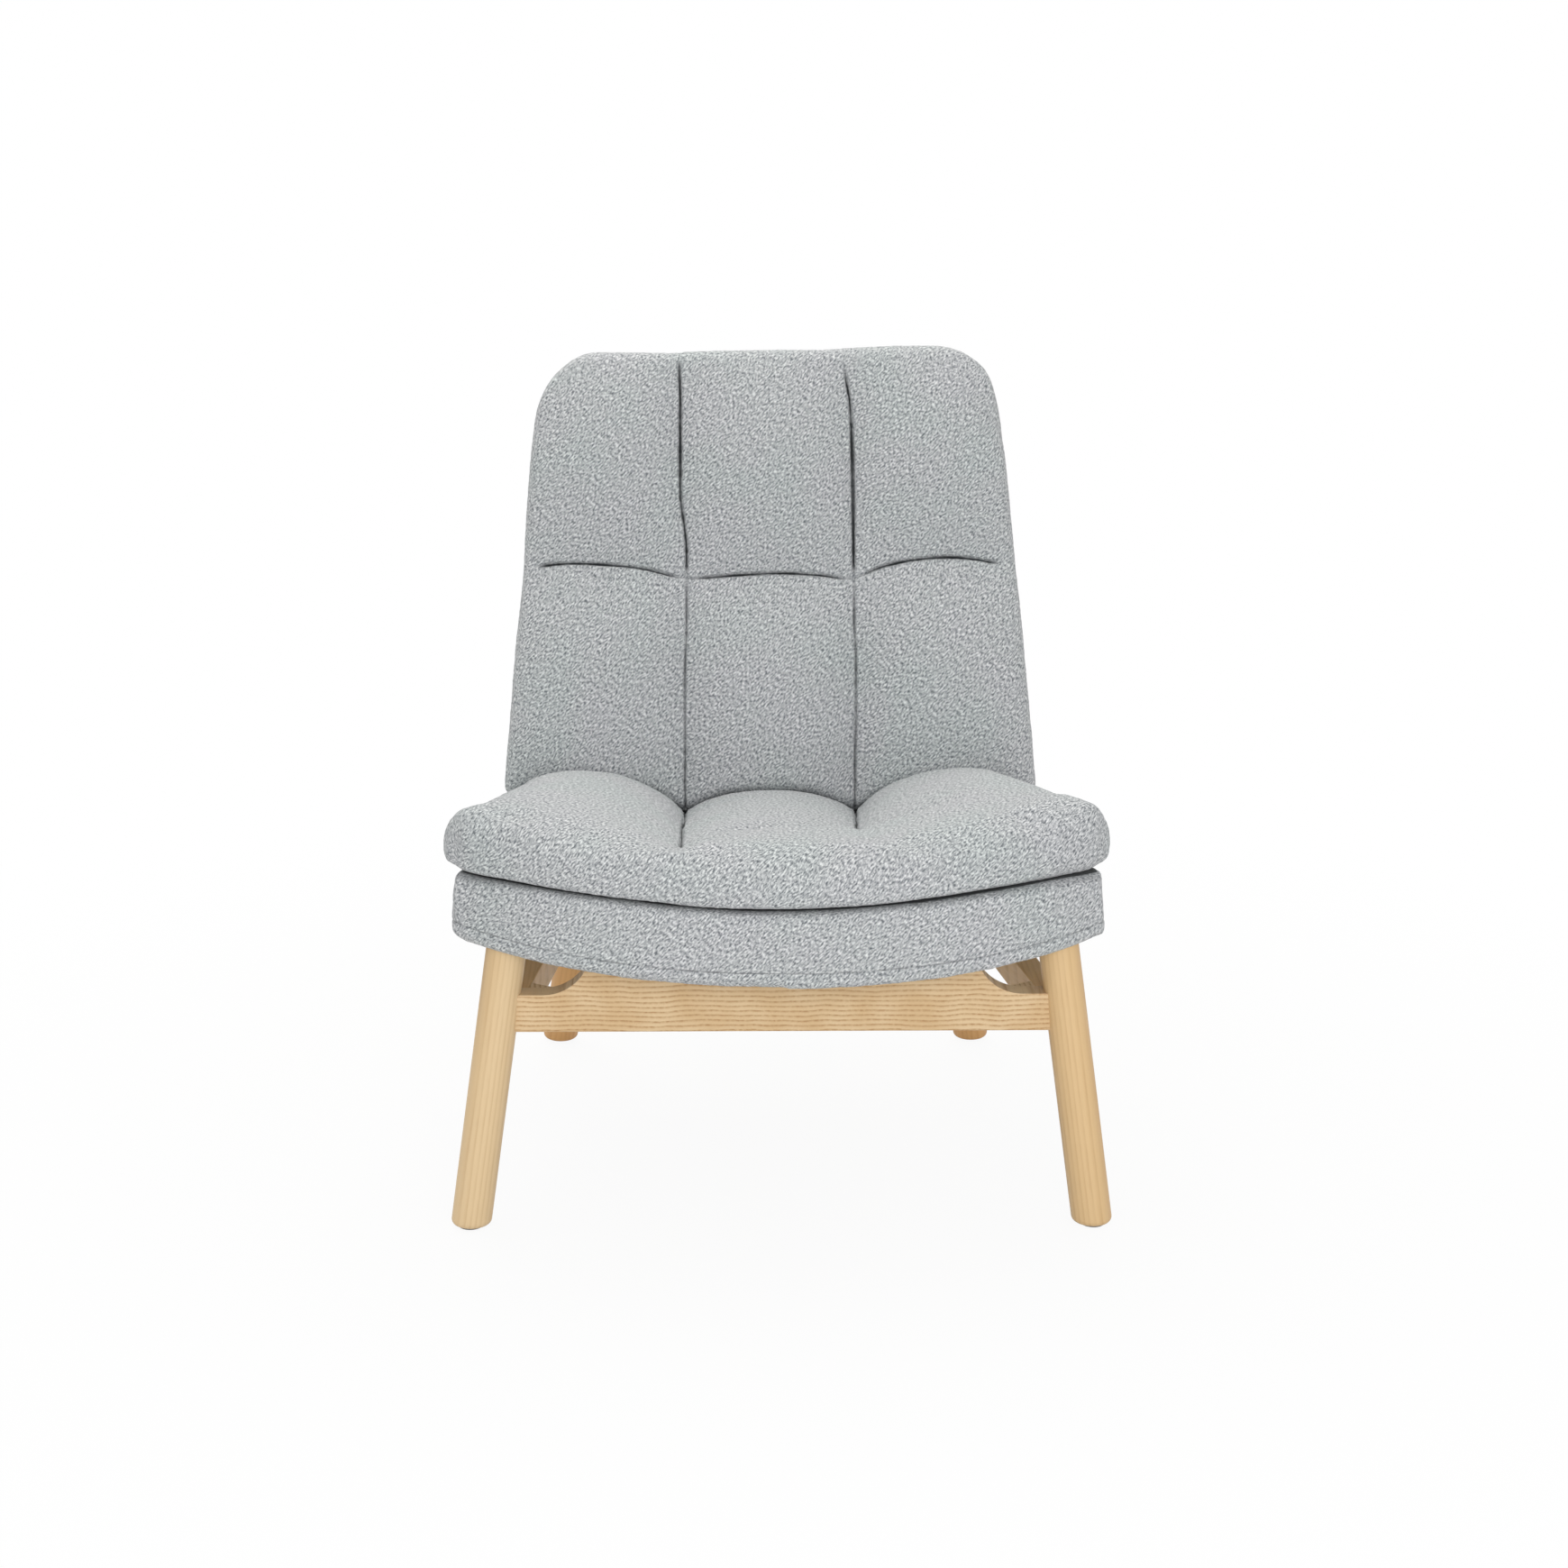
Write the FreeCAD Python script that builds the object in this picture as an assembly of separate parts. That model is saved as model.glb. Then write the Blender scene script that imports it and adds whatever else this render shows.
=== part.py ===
import FreeCAD, Part
import os
from math import atan, cos, hypot, radians, sin, sqrt, tan

# Occasional chair in millimetres. X runs to the chair's left and right, the front faces -Y, +Z is up.
# The heights and depths below count from the floor and from the line between the front feet.
# Before export all pieces move together, so that the origin is on the floor under the chair's middle.

Vector = FreeCAD.Vector
clearance = 0.3          # air between soft pieces, and between cloth and wood
glue_fit = 0.1           # radial play of dowels, screws and bolts in their holes
spare = 1.0              # cuts run this far past what they cut

# Plan of the upholstery: the sides draw in towards the back
seat_pad_half_width = 354.0
seat_pad_taper = 0.085
back_pad_half_width = 320.0   # at the crease
back_pad_taper = 0.22
crease_y = 480.0
shell_half_width = 346.0
shell_taper = 0.115
seam_offset = 108.0           # sewn channels between the columns
seam_taper = 0.012

# Seat layer, dished from side to side and sloping down to the back
seat_front = -30.0
front_bow = 70.0
bow_width = 312.0
seat_slope = 0.165
deck_height = 357.0
deck_dish = 29.0
dish_width = 320.0
under_height = 276.0
under_dish = 36.0
under_width = 315.0
shell_edge_radius = 20.0
shell_least_radius = 2.0      # of its edges, where the layer draws in at its ends
inner_bend_radius = 24.0
outer_bend_radius = 100.0

# Back, leaning away from the seat
back_lean = radians(21.5)
back_start = 533.7
back_start_drop = 7.0          # the back starts this far below the deck's height, and rises with it
back_start_height = deck_height - back_start_drop
shell_back_thickness = 45.0
shell_back_length = 505.0
shell_corner_radius = 75.0

# Seat pad
pad_overhang = 11.0      # the pads stand out this far over the front of the shell layer
seat_pad_rear = 500.0
seat_pad_front = 53.0    # thickness along the front edge, in the middle and more at the sides
seat_pad_front_side = 64.0
seat_channel = 45.0      # thickness at the rear end of the channels
seat_side_fall = 15.0    # less than that at the sides
seat_puff_middle = 30.0
seat_puff_side = 48.0
seat_roll = 75.0         # the rear roll into the crease
seat_end_radius = 30.0
seat_nose = 0.4          # depth of the rounded front edge, as a share of its thickness
seat_end_level = 0.36    # height of the fullest line of its rounded ends, as a share of its thickness
pad_crown = 3.0          # least rise of a pad's surface between its edges
crown_share = 0.25       # of the pad's rise from front to rear, added to the crown
puff_power_middle = 2.4  # how square a column's puff is
puff_power_side = 2.2

# Shape of the rear roll: shares of its length forward of the rear end, and of its thickness above the deck
roll_most = 0.9          # longest roll, as a share of its thickness
roll_upper = (0.2, 0.72)
roll_rear = 0.4
roll_lower = (0.06, 0.15)
roll_foot = 0.35

# Back pad
back_pad_bottom = -38.0
back_pad_top = 516.0
back_channel = 50.0
back_side_extra = 4.0
back_toe = 4.0           # the lower puff draws back at its foot
back_puff_lower = 27.0
back_puff_upper = 23.0
back_seam = 235.0        # height of the cross seam along the back
back_seam_dip = 7.0      # thickness left over the channels in the cross seam
back_arch_middle = 7.0
back_arch_side = 20.0
back_nose = 0.42         # rounding of the pad's foot, seam and top, as shares of their thickness
back_seam_room = 3.0     # the cross seam stays this many roundings below the top
back_lift = 0.5          # share of the seat's puffs that the pad's foot follows
back_corner_radius = 88.0
back_end_radius = 25.0
back_end_level = 0.5
back_side_drop = 10.0    # the pad's foot reaches lower at its sides

# Cloth and plywood
cover_thickness = 2.0
ply_thickness = 12.0
ply_cover = 8.0          # foam between the plywood and the cover below it
ply_front_gap = 30.0
ply_side_gap = 40.0
ply_top_gap = 40.0

# Legs
leg_radius = 21.0
leg_foot_rounding = 6.0
front_foot_inset = 20.0  # from the widest line of the shell layer to the middle of a foot
front_foot_y = 20.0
front_splay = radians(7.9)
front_rake = radians(6.0)
front_leg_top = 302.0
rear_foot_inset = 89.4
rear_foot_y = 581.0
rear_splay = radians(8.7)
rear_rake = radians(-16.0)
rear_leg_top = 200.0
glide_radius = 13.0
glide_height = 2.5
glide_edge = 1.0
nail_radius = 1.5
nail_length = 18.0
nail_recess = 1.5
nail_head_radius = 3.5
nail_head_height = 1.2

# Rails
rail_thickness = 24.0
front_rail_bottom = 208.5
front_rail_ledge = 249.0      # top of its ends and of the side rails
front_rail_setback = 3.0      # behind the middle line of the front legs
cove_start = 248.0
cove_radius = 50.0
cove_turn = radians(80.0)
rail_rounding = 2.0
side_rail_thickness = 26.0
side_rail_inset = 16.0        # from the middle of the legs in to the middle of the rail
side_rail_height = 38.0
side_rail_bend_y = 270.0      # level up to here, then down under the shell
side_rail_bend = 40.0         # length of the bend to each side of that
side_rail_slope = 0.2         # behind the bend
rear_rail_y = 450.0
rear_rail_bottom = 166.0
dowel_radius = 4.0
dowel_length = 28.0
dowel_depth = 14.0
dowel_spacing = 18.0
side_dowel_inset = 10.0       # from the middle of the legs in to the side rails' dowels

# Corner blocks and shell bolts
block_across = 28.0           # along the cross rail
block_along = 16.0            # along the side rail
block_height = 30.0
screw_radius = 2.0
screw_length = 20.0
screw_grip = 8.0         # from the rail's face to under the head
screw_reach = 8.0        # from the corner of the rails
screw_inset = 10.0       # from the ends of the block
screw_head_room = 10.0   # length of the hole for a head
screw_head_radius = 4.0
screw_head_height = 3.0
bolt_radius = 3.0
bolt_offset = 120.0
bolt_head_radius = 6.5
bolt_head_height = 4.0
counterbore_depth = 14.0
washer_radius = 9.0
washer_thickness = 1.5
tee_flange_radius = 9.0
tee_flange = 1.5
tee_barrel_radius = 4.2
tee_barrel_length = 9.0


def seat_edge_x(y):
    return seat_pad_half_width - seat_pad_taper * y


def back_edge_x(y):
    return back_pad_half_width - back_pad_taper * (y - crease_y)


def shell_edge_x(y):
    return shell_half_width - shell_taper * y


def seam_x(y):
    return seam_offset - seam_taper * y


def front_y(u):
    return seat_front + front_bow * (u / bow_width) ** 3


def deck_z(u, y):
    return deck_height + deck_dish * (u / dish_width) ** 2 - seat_slope * y


def under_z(u, y):
    return under_height + under_dish * (u / under_width) ** 2 - seat_slope * y


# A point of the back: along the back from its start, and forward of the shell's face
def on_back(along, forward):
    y = back_start + along * sin(back_lean) - forward * cos(back_lean)
    z = back_start_height + along * cos(back_lean) + forward * sin(back_lean)
    return (y, z)


# Closed outline in the upright plane x = across(y); a run is an end point, or a middle and an end point
def outline(across, start, runs):
    def place(point):
        return Vector(across(point[0]), point[0], point[1])
    edges = []
    here = start
    for run in runs:
        if len(run) == 1:
            edges.append(Part.LineSegment(place(here), place(run[0])).toShape())
        else:
            edges.append(Part.Arc(place(here), place(run[0]), place(run[1])).toShape())
        here = run[-1]
    return Part.Wire(edges)


# Start, middle and end of the arc that rounds the corner between two straight runs
def rounded(before, corner, after, radius):
    ux, uy = before[0] - corner[0], before[1] - corner[1]
    vx, vy = after[0] - corner[0], after[1] - corner[1]
    ul, vl = hypot(ux, uy), hypot(vx, vy)
    ux, uy, vx, vy = ux / ul, uy / ul, vx / vl, vy / vl
    half = sqrt((1 - (ux * vx + uy * vy)) / 2)
    flat = sqrt(1 - half * half)
    reach = radius * flat / half
    wx, wy = ux + vx, uy + vy
    wl = hypot(wx, wy)
    depth = radius / half - radius
    start = (corner[0] + ux * reach, corner[1] + uy * reach)
    middle = (corner[0] + wx / wl * depth, corner[1] + wy / wl * depth)
    end = (corner[0] + vx * reach, corner[1] + vy * reach)
    return start, middle, end


# How far an outline draws in at a distance from a rounded side
def end_inset(distance, radius):
    if distance >= radius:
        return 0.0
    return radius - sqrt(radius ** 2 - (radius - distance) ** 2)


# Shell layer

# A point of the deck or of the underside, drawn in by inset
def on_deck(across, y, inset):
    return (y, deck_z(abs(across(y)), y) - inset)


def on_underside(across, y, inset):
    return (y, under_z(abs(across(y)), y) + inset)


# Where the straight through two points meets the straight through two others
def meet(a, b, c, d):
    ux, uy, vx, vy = b[0] - a[0], b[1] - a[1], d[0] - c[0], d[1] - c[1]
    t = ((c[0] - a[0]) * vy - (c[1] - a[1]) * vx) / (ux * vy - uy * vx)
    return (a[0] + ux * t, a[1] + uy * t)


# L-shaped outline of the shell layer at one place across the chair
def shell_outline(across, inset):
    u = abs(across(0.0))
    front = front_y(u) + inset
    corner = end_inset(max(shell_edge_x(0.0) - u, 0.0), shell_corner_radius)
    top = shell_back_length - corner - inset
    top_front = on_back(top, -inset)
    top_rear = on_back(top, inset - shell_back_thickness)
    front_top = on_deck(across, front, inset)
    front_low = on_underside(across, front, inset)
    back_foot = on_back(0.0, -inset)
    rear_foot = on_back(0.0, inset - shell_back_thickness)
    bend_in = meet(front_top, on_deck(across, crease_y, inset), back_foot, top_front)
    bend_out = meet(front_low, on_underside(across, crease_y, inset), rear_foot, top_rear)
    edge = max(shell_edge_radius - inset, shell_least_radius)
    a = rounded(front_low, front_top, bend_in, edge)
    b = rounded(front_top, bend_in, top_front, inner_bend_radius + inset)
    c = rounded(bend_in, top_front, top_rear, edge)
    d = rounded(top_front, top_rear, bend_out, edge)
    e = rounded(top_rear, bend_out, front_low, outer_bend_radius - inset)
    f = rounded(bend_out, front_low, front_top, edge)
    runs = []
    for start, middle, end in (b, c, d, e, f):
        runs.append((start,))
        runs.append((middle, end))
    runs.append((a[0],))
    runs.append((a[1], a[2]))
    return outline(across, a[2], runs)


# Places across the layer as shares of its half width, and at its end in roundings from the very end
shell_places = [0.2, 0.4, 0.6, 0.7]
shell_rim = (2.4, 1.5, 1.0, 0.6, 0.3, 0.1, 0.01)


# The layer as a loft across the chair, drawn in all round by inset
def shell_loft(inset):
    half = shell_edge_x(0.0) - inset
    radius = shell_edge_radius - inset
    corner = 1.0 - shell_corner_radius / half
    rim = [1.0 - distance * radius / half for distance in shell_rim]
    right = shell_places + [corner] + rim
    wires = []
    for share in [-s for s in reversed(right)] + [0.0] + right:
        def across(y):
            return share * (shell_edge_x(y) - inset)
        drawn = inset + end_inset((1.0 - abs(share)) * half, radius)
        wires.append(shell_outline(across, drawn))
    return Part.makeLoft(wires, True, False)


# Moulded plywood inside the layer: one bent sheet from the front edge to the top of the back
def plywood_outline(across):
    outer = cover_thickness + ply_cover
    inner = outer + ply_thickness
    front = front_y(abs(across(0.0))) + ply_front_gap
    top = shell_back_length - ply_top_gap
    low = on_underside(across, front, outer)
    high = on_underside(across, front, inner)
    rear = on_back(top, outer - shell_back_thickness)
    face = on_back(top, inner - shell_back_thickness)
    rear_foot = on_back(0.0, outer - shell_back_thickness)
    face_foot = on_back(0.0, inner - shell_back_thickness)
    bend_out = meet(low, on_underside(across, crease_y, outer), rear_foot, rear)
    bend_in = meet(high, on_underside(across, crease_y, inner), face_foot, face)
    a = rounded(high, bend_in, face, outer_bend_radius - inner)
    b = rounded(rear, bend_out, low, outer_bend_radius - outer)
    runs = [(a[0],), (a[1], a[2]), (face,), (rear,), (b[0],), (b[1], b[2]), (low,), (high,)]
    return outline(across, high, runs)


def plywood_loft():
    wires = []
    for share in (-1.0, -0.6, -0.3, 0.0, 0.3, 0.6, 1.0):
        def across(y):
            return share * (shell_edge_x(y) - ply_side_gap)
        wires.append(plywood_outline(across))
    return Part.makeLoft(wires, True, False)


# Pads: three columns side by side, each puffed between the sewn channels

# Places across one column, from 0 to 1, close together at a channel and at a rounded end
channel_places = [0.0, 0.05, 0.12, 0.22, 0.35, 0.5]
middle_places = channel_places + [1.0 - s for s in reversed(channel_places[:-1])]
side_places = channel_places + [0.62, 0.72, 0.8]
pad_rim = (1.25, 1.0, 0.75, 0.5, 0.25, 0.08, 0.01)


def column_lofts(make_wire, edge_x, inset, end_radius):
    def middle_across(share):
        return lambda y: (2.0 * share - 1.0) * seam_x(y)

    def side_across(side, share):
        return lambda y: side * (seam_x(y) + share * (edge_x(y) - inset - seam_x(y)))
    wires = [make_wire(middle_across(s), "middle", s, inset, 1.0) for s in middle_places]
    lofts = [Part.makeLoft(wires, True, False)]
    width = edge_x(crease_y) - inset - seam_x(crease_y)
    radius = end_radius - inset
    rim = [1.0 - distance * radius / width for distance in pad_rim]
    for side in (-1.0, 1.0):
        wires = []
        for share in side_places + rim:
            closing = 1.0 - end_inset((1.0 - share) * width, radius) / radius
            wires.append(make_wire(side_across(side, share), "side", share, inset, closing))
        lofts.append(Part.makeLoft(wires, True, False))
    return lofts[1].fuse([lofts[0], lofts[2]]).removeSplitter()


# How full a column is at one place across it, 0 at the channels and 1 at its crest
def puff(share, power):
    return 1.0 - abs(2.0 * share - 1.0) ** power


def seat_pad_crest(column, share):
    if column == "middle":
        return seat_channel + seat_puff_middle * puff(share, puff_power_middle)
    return seat_channel - seat_side_fall * share + seat_puff_side * puff(share, puff_power_side)


# Lower and upper face of a pad at one point, drawn together near a rounded end
def faces_of(height, inset, closing, level):
    low = clearance + inset
    high = height - inset
    end = low + level * (high - low)
    return end - (end - low) * closing, end + (high - end) * closing


# Side view of the seat pad at one place across the chair
def seat_pad_outline(across, column, share, inset, closing):
    side_share = share if column == "side" else 0.0
    front_height = seat_pad_front + (seat_pad_front_side - seat_pad_front) * side_share
    front_low, front_high = faces_of(front_height, inset, closing, seat_end_level)
    rear_low, rear_high = faces_of(seat_pad_crest(column, share), inset, closing, seat_end_level)
    drawn = inset + (1.0 - closing) * seat_end_radius
    front = front_y(abs(across(0.0))) - pad_overhang + drawn
    rear = seat_pad_rear - drawn
    nose = seat_nose * (front_high - front_low)
    depth = rear_high - rear_low
    roll = min(seat_roll, roll_most * depth)

    def above(y, height):
        return on_deck(across, y, -height)
    start = above(front + nose, front_low)
    runs = [(above(front, (front_low + front_high) / 2.0), above(front + nose, front_high))]
    shoulder = rear - roll
    crown = pad_crown * closing + crown_share * max(rear_high - front_high, 0.0)
    middle_y = (front + nose + shoulder) / 2.0
    runs.append((above(middle_y, (front_high + rear_high) / 2.0 + crown), above(shoulder, rear_high)))
    upper = above(rear - roll_upper[0] * roll, rear_low + roll_upper[1] * depth)
    runs.append((upper, above(rear, rear_low + roll_rear * depth)))
    lower = above(rear - roll_lower[0] * roll, rear_low + roll_lower[1] * depth)
    runs.append((lower, above(rear - roll_foot * depth, rear_low)))
    runs.append((start,))
    return outline(across, start, runs)


def back_crest(column, share, amount):
    if column == "middle":
        return back_channel + amount * puff(share, puff_power_middle)
    return back_channel + back_side_extra * share + amount * puff(share, puff_power_side)


# Side view of the back pad at one place across the chair: a lower and an upper puff and the cross seam
def back_pad_outline(across, column, share, inset, closing):
    u = abs(across(crease_y))
    seam_height = back_crest(column, share, 0.0) + back_seam_dip * puff(share, 2)
    lower_height = back_crest(column, share, back_puff_lower)
    upper_height = back_crest(column, share, back_puff_upper)
    seam_low, seam_high = faces_of(seam_height, inset, closing, back_end_level)
    lower_low, lower_high = faces_of(lower_height, inset, closing, back_end_level)
    upper_high = faces_of(upper_height, inset, closing, back_end_level)[1]
    drawn = inset + (1.0 - closing) * back_end_radius
    corner = end_inset(max(back_edge_x(crease_y) - u, 0.0), back_corner_radius)
    top = back_pad_top - corner - drawn
    lift = deck_z(u, 0.0) - deck_z(0.0, 0.0) + back_lift * (seat_pad_crest(column, share) - seat_channel)
    side_share = share if column == "side" else 0.0
    bottom = back_pad_bottom + lift - back_side_drop * side_share ** 2 + drawn
    foot = back_nose * (lower_high - lower_low)
    nose = back_nose * (seam_high - seam_low)
    arch = back_arch_middle if column == "middle" else back_arch_side
    seam = min(back_seam + arch * puff(share, 2), top - back_seam_room * nose)
    start = on_back(bottom + foot, lower_low)
    low_front = on_back(bottom + foot, lower_high - back_toe * closing)
    runs = [(on_back(bottom, (lower_low + lower_high) / 2.0), low_front)]
    rise = pad_crown * closing
    runs.append((on_back((bottom + foot + seam) / 2.0, lower_high + rise), on_back(seam, seam_high)))
    runs.append((on_back((seam + top - nose) / 2.0, upper_high + rise), on_back(top - nose, seam_high)))
    runs.append((on_back(top, (seam_low + seam_high) / 2.0), on_back(top - nose, seam_low)))
    runs.append((start,))
    return outline(across, start, runs)


def seat_pad_loft(inset):
    return column_lofts(seat_pad_outline, seat_edge_x, inset, seat_end_radius)


def back_pad_loft(inset):
    return column_lofts(back_pad_outline, back_edge_x, inset, back_end_radius)


# Wooden frame

def leg_point(foot_x, foot_y, splay, rake, side, z):
    return Vector(side * (foot_x - z * tan(splay)), foot_y + z * tan(rake), z)


def front_leg_point(side, z):
    foot_x = shell_half_width - front_foot_inset
    return leg_point(foot_x, front_foot_y, front_splay, front_rake, side, z)


def rear_leg_point(side, z):
    foot_x = shell_half_width - rear_foot_inset
    return leg_point(foot_x, rear_foot_y, rear_splay, rear_rake, side, z)


def rod(start, direction, begin, end, radius):
    axis = Vector(direction).normalize()
    return Part.makeCylinder(radius, end - begin, start + axis * begin, axis)


# The whole round of a leg, longer than the leg at both ends
def leg_round(point, side, top, radius):
    low = point(side, -leg_radius)
    return rod(low, point(side, top).sub(low), 0.0, top + 4.0 * leg_radius, radius)


# A leg, cut level above its glide and at its top
def leg_solid(point, side, top):
    post = leg_round(point, side, top, leg_radius)
    reach = top + leg_radius
    middle = point(side, top / 2.0)
    corner = Vector(middle.x - reach, middle.y - reach, glide_height)
    post = post.common(Part.makeBox(2.0 * reach, 2.0 * reach, top - glide_height, corner))
    foot_edges = [e for e in post.Edges if e.BoundBox.ZMax < glide_height + glue_fit]
    return post.makeFillet(leg_foot_rounding, foot_edges)


# Height of a side rail's top
def side_rail_z(y):
    return front_rail_ledge - side_rail_slope * max(0.0, y - side_rail_bend_y)


# The middle line of a side rail beside its two legs, at half its height
def side_rail_ends(side):
    ends = []
    for point, foot_y in ((front_leg_point, front_foot_y), (rear_leg_point, rear_foot_y)):
        middle = point(side, side_rail_z(foot_y) - side_rail_height / 2.0)
        ends.append(middle - Vector(side * side_rail_inset, 0.0, 0.0))
    return ends


def side_rail_run(side):
    front, rear = side_rail_ends(side)
    return Vector(rear.x - front.x, rear.y - front.y, 0.0).normalize()


# X of a side rail's inner face at one depth
def side_rail_inner_x(side, y):
    front, _ = side_rail_ends(side)
    run = side_rail_run(side)
    return front.x + (y - front.y) * run.x / run.y - side * side_rail_thickness / 2.0 / run.y


def soften(solid, edges, radius):
    return solid.makeFillet(radius, edges)


# A long edge of a side rail seen from its side: level, bent, and sloping down
def side_rail_edge(place, begin, end, level):
    turn = atan(side_rail_slope)
    radius = side_rail_bend / tan(turn / 2.0)

    def on_bend(angle):
        y = side_rail_bend_y - side_rail_bend + radius * sin(angle)
        return place(y, level - radius * (1.0 - cos(angle)))
    low = level - side_rail_slope * (end - side_rail_bend_y)
    return [
        Part.LineSegment(place(begin, level), on_bend(0.0)).toShape(),
        Part.Arc(on_bend(0.0), on_bend(turn / 2.0), on_bend(turn)).toShape(),
        Part.LineSegment(on_bend(turn), place(end, low)).toShape(),
    ]


# A plank on the middle line of a side rail, from the front rail to the rear leg
def side_rail_plank(side, outline_of):
    run = side_rail_run(side)
    front, rear = side_rail_ends(side)
    half = Vector(-run.y, run.x, 0.0) * (side_rail_thickness / 2.0)

    def place(y, z):
        point = front + run * ((y - front.y) / run.y) - half
        return Vector(point.x, point.y, z)
    edges = outline_of(place, front_rail_y(), rear.y - leg_radius / 2.0)
    return Part.Face(Part.Wire(Part.__sortEdges__(edges))).extrude(half * 2.0)


def side_rail_bar(side):
    def outline_of(place, begin, end):
        edges = []
        for level in (front_rail_ledge, front_rail_ledge - side_rail_height):
            edges += side_rail_edge(place, begin, end, level)
        for y in (begin, end):
            top = side_rail_z(y)
            edges.append(Part.LineSegment(place(y, top), place(y, top - side_rail_height)).toShape())
        return edges
    bar = side_rail_plank(side, outline_of)
    long_edges = [e for e in bar.Edges if e.BoundBox.YLength > side_rail_height]
    return soften(bar, long_edges, rail_rounding)


# The room of a side rail from the floor up past the shell's underside, which ends the rear rail
def side_rail_wall(side):
    def outline_of(place, begin, end):
        ring = [place(begin, 0.0), place(end, 0.0), place(end, deck_height), place(begin, deck_height)]
        return Part.makePolygon(ring + ring[:1]).Edges
    return side_rail_plank(side, outline_of)


def front_rail_y():
    return front_leg_point(1.0, (front_rail_bottom + front_rail_ledge) / 2.0).y + front_rail_setback


# The front rail before it is fitted: level ledges at the legs, coves, and a raised middle
def front_rail_blank():
    y = front_rail_y() - rail_thickness / 2.0
    end = abs(front_leg_point(1.0, front_rail_bottom).x)

    def on_cove(turn):
        x = cove_start - cove_radius * sin(turn)
        return x, front_rail_ledge + cove_radius * (1.0 - cos(turn))
    half_x, half_z = on_cove(cove_turn / 2.0)
    top_x, top_z = on_cove(cove_turn)

    def straight(x1, z1, x2, z2):
        return Part.LineSegment(Vector(x1, y, z1), Vector(x2, y, z2)).toShape()

    def cove(side):
        points = [Vector(side * cove_start, y, front_rail_ledge), Vector(side * half_x, y, half_z)]
        return Part.Arc(points[0], points[1], Vector(side * top_x, y, top_z)).toShape()
    edges = [
        straight(-end, front_rail_bottom, end, front_rail_bottom),
        straight(end, front_rail_bottom, end, front_rail_ledge),
        straight(end, front_rail_ledge, cove_start, front_rail_ledge),
        cove(1.0),
        straight(top_x, top_z, -top_x, top_z),
        cove(-1.0),
        straight(-cove_start, front_rail_ledge, -end, front_rail_ledge),
        straight(-end, front_rail_ledge, -end, front_rail_bottom),
    ]
    wire = Part.Wire(Part.__sortEdges__(edges))
    blank = Part.Face(wire).extrude(Vector(0.0, rail_thickness, 0.0))
    low_edges = [e for e in blank.Edges if e.BoundBox.ZMax < front_rail_ledge and e.Length > end]
    return soften(blank, low_edges, rail_rounding)


# The rear rail, longer than the room between the side rails
def rear_rail_blank():
    end = abs(side_rail_inner_x(1.0, rear_rail_y)) + side_rail_thickness / 2.0
    height = deck_z(0.0, rear_rail_y) - rear_rail_bottom - shell_edge_radius
    corner = Vector(-end, rear_rail_y - rail_thickness / 2.0, rear_rail_bottom)
    return Part.makeBox(2.0 * end, rail_thickness, height, corner)


# Dowels: pairs one above the other at each end of each rail
def dowel_pair(root_at, direction, z):
    pair = []
    for height in (z - dowel_spacing / 2.0, z + dowel_spacing / 2.0):
        root = root_at(height)
        start = Vector(root.x, root.y, height)
        pair.append(rod(start, direction, 0.0, dowel_length, dowel_radius))
    return pair


def all_dowels():
    dowels = []
    inside_leg = leg_radius - dowel_depth
    for side in (-1.0, 1.0):
        inward = Vector(-side, 0.0, 0.0)
        z = (front_rail_bottom + front_rail_ledge) / 2.0
        dowels += dowel_pair(lambda height: front_leg_point(side, height) + inward * inside_leg, inward, z)
        run = side_rail_run(side)
        front, rear = side_rail_ends(side)
        for end, point, along in ((front, front_leg_point, run), (rear, rear_leg_point, run * -1.0)):
            aside = inward * side_dowel_inset + along * inside_leg
            z = side_rail_z((end + along * leg_radius).y) - side_rail_height / 2.0
            dowels += dowel_pair(lambda height: point(side, height) + aside, along, z)
        face = Vector(side_rail_inner_x(side, rear_rail_y), rear_rail_y, 0.0)
        z = side_rail_z(rear_rail_y) - side_rail_height / 2.0
        dowels += dowel_pair(lambda height: face - inward * dowel_depth, inward, z)
    return dowels


# Corner blocks in the angle between a cross rail and a side rail, each with two screws

# Corner of the two rail faces, and the unit steps along the cross rail and along the side rail
def block_corner(side, face_y, forward):
    corner = Vector(side_rail_inner_x(side, face_y), face_y, 0.0)
    return corner, Vector(-side, 0.0, 0.0), side_rail_run(side) * forward


def corner_block(side, face_y, forward, bottom):
    corner, inward, along = block_corner(side, face_y, forward)
    a = corner + Vector(0.0, 0.0, bottom)
    ring = [a, a + inward * block_across, a + along * block_along, a]
    return Part.Face(Part.makePolygon(ring)).extrude(Vector(0.0, 0.0, block_height))


def block_screws(side, face_y, forward, bottom):
    corner, inward, along = block_corner(side, face_y, forward)
    square = Vector(0.0, forward, 0.0)
    outward = Vector(side * along.y * forward, -side * along.x * forward, 0.0)
    screws = []
    across = corner + inward * screw_reach + Vector(0.0, 0.0, bottom + screw_inset)
    aside = corner + along * screw_reach + Vector(0.0, 0.0, bottom + block_height - screw_inset)
    for foot, back in ((across, square), (aside, outward * -1.0)):
        shank = rod(foot, back, screw_grip - screw_length, screw_grip, screw_radius)
        head = rod(foot, back, screw_grip, screw_grip + screw_head_height, screw_head_radius)
        screws.append((shank.fuse(head), foot, back))
    return screws


def screw_hole(foot, back):
    shank = rod(foot, back, screw_grip - screw_length, screw_grip, screw_radius + glue_fit)
    head = rod(foot, back, screw_grip, screw_grip + screw_head_room, screw_head_radius + glue_fit)
    return shank.fuse(head)


# Bolts that hold the shell on the two cross rails, square to its underside

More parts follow.
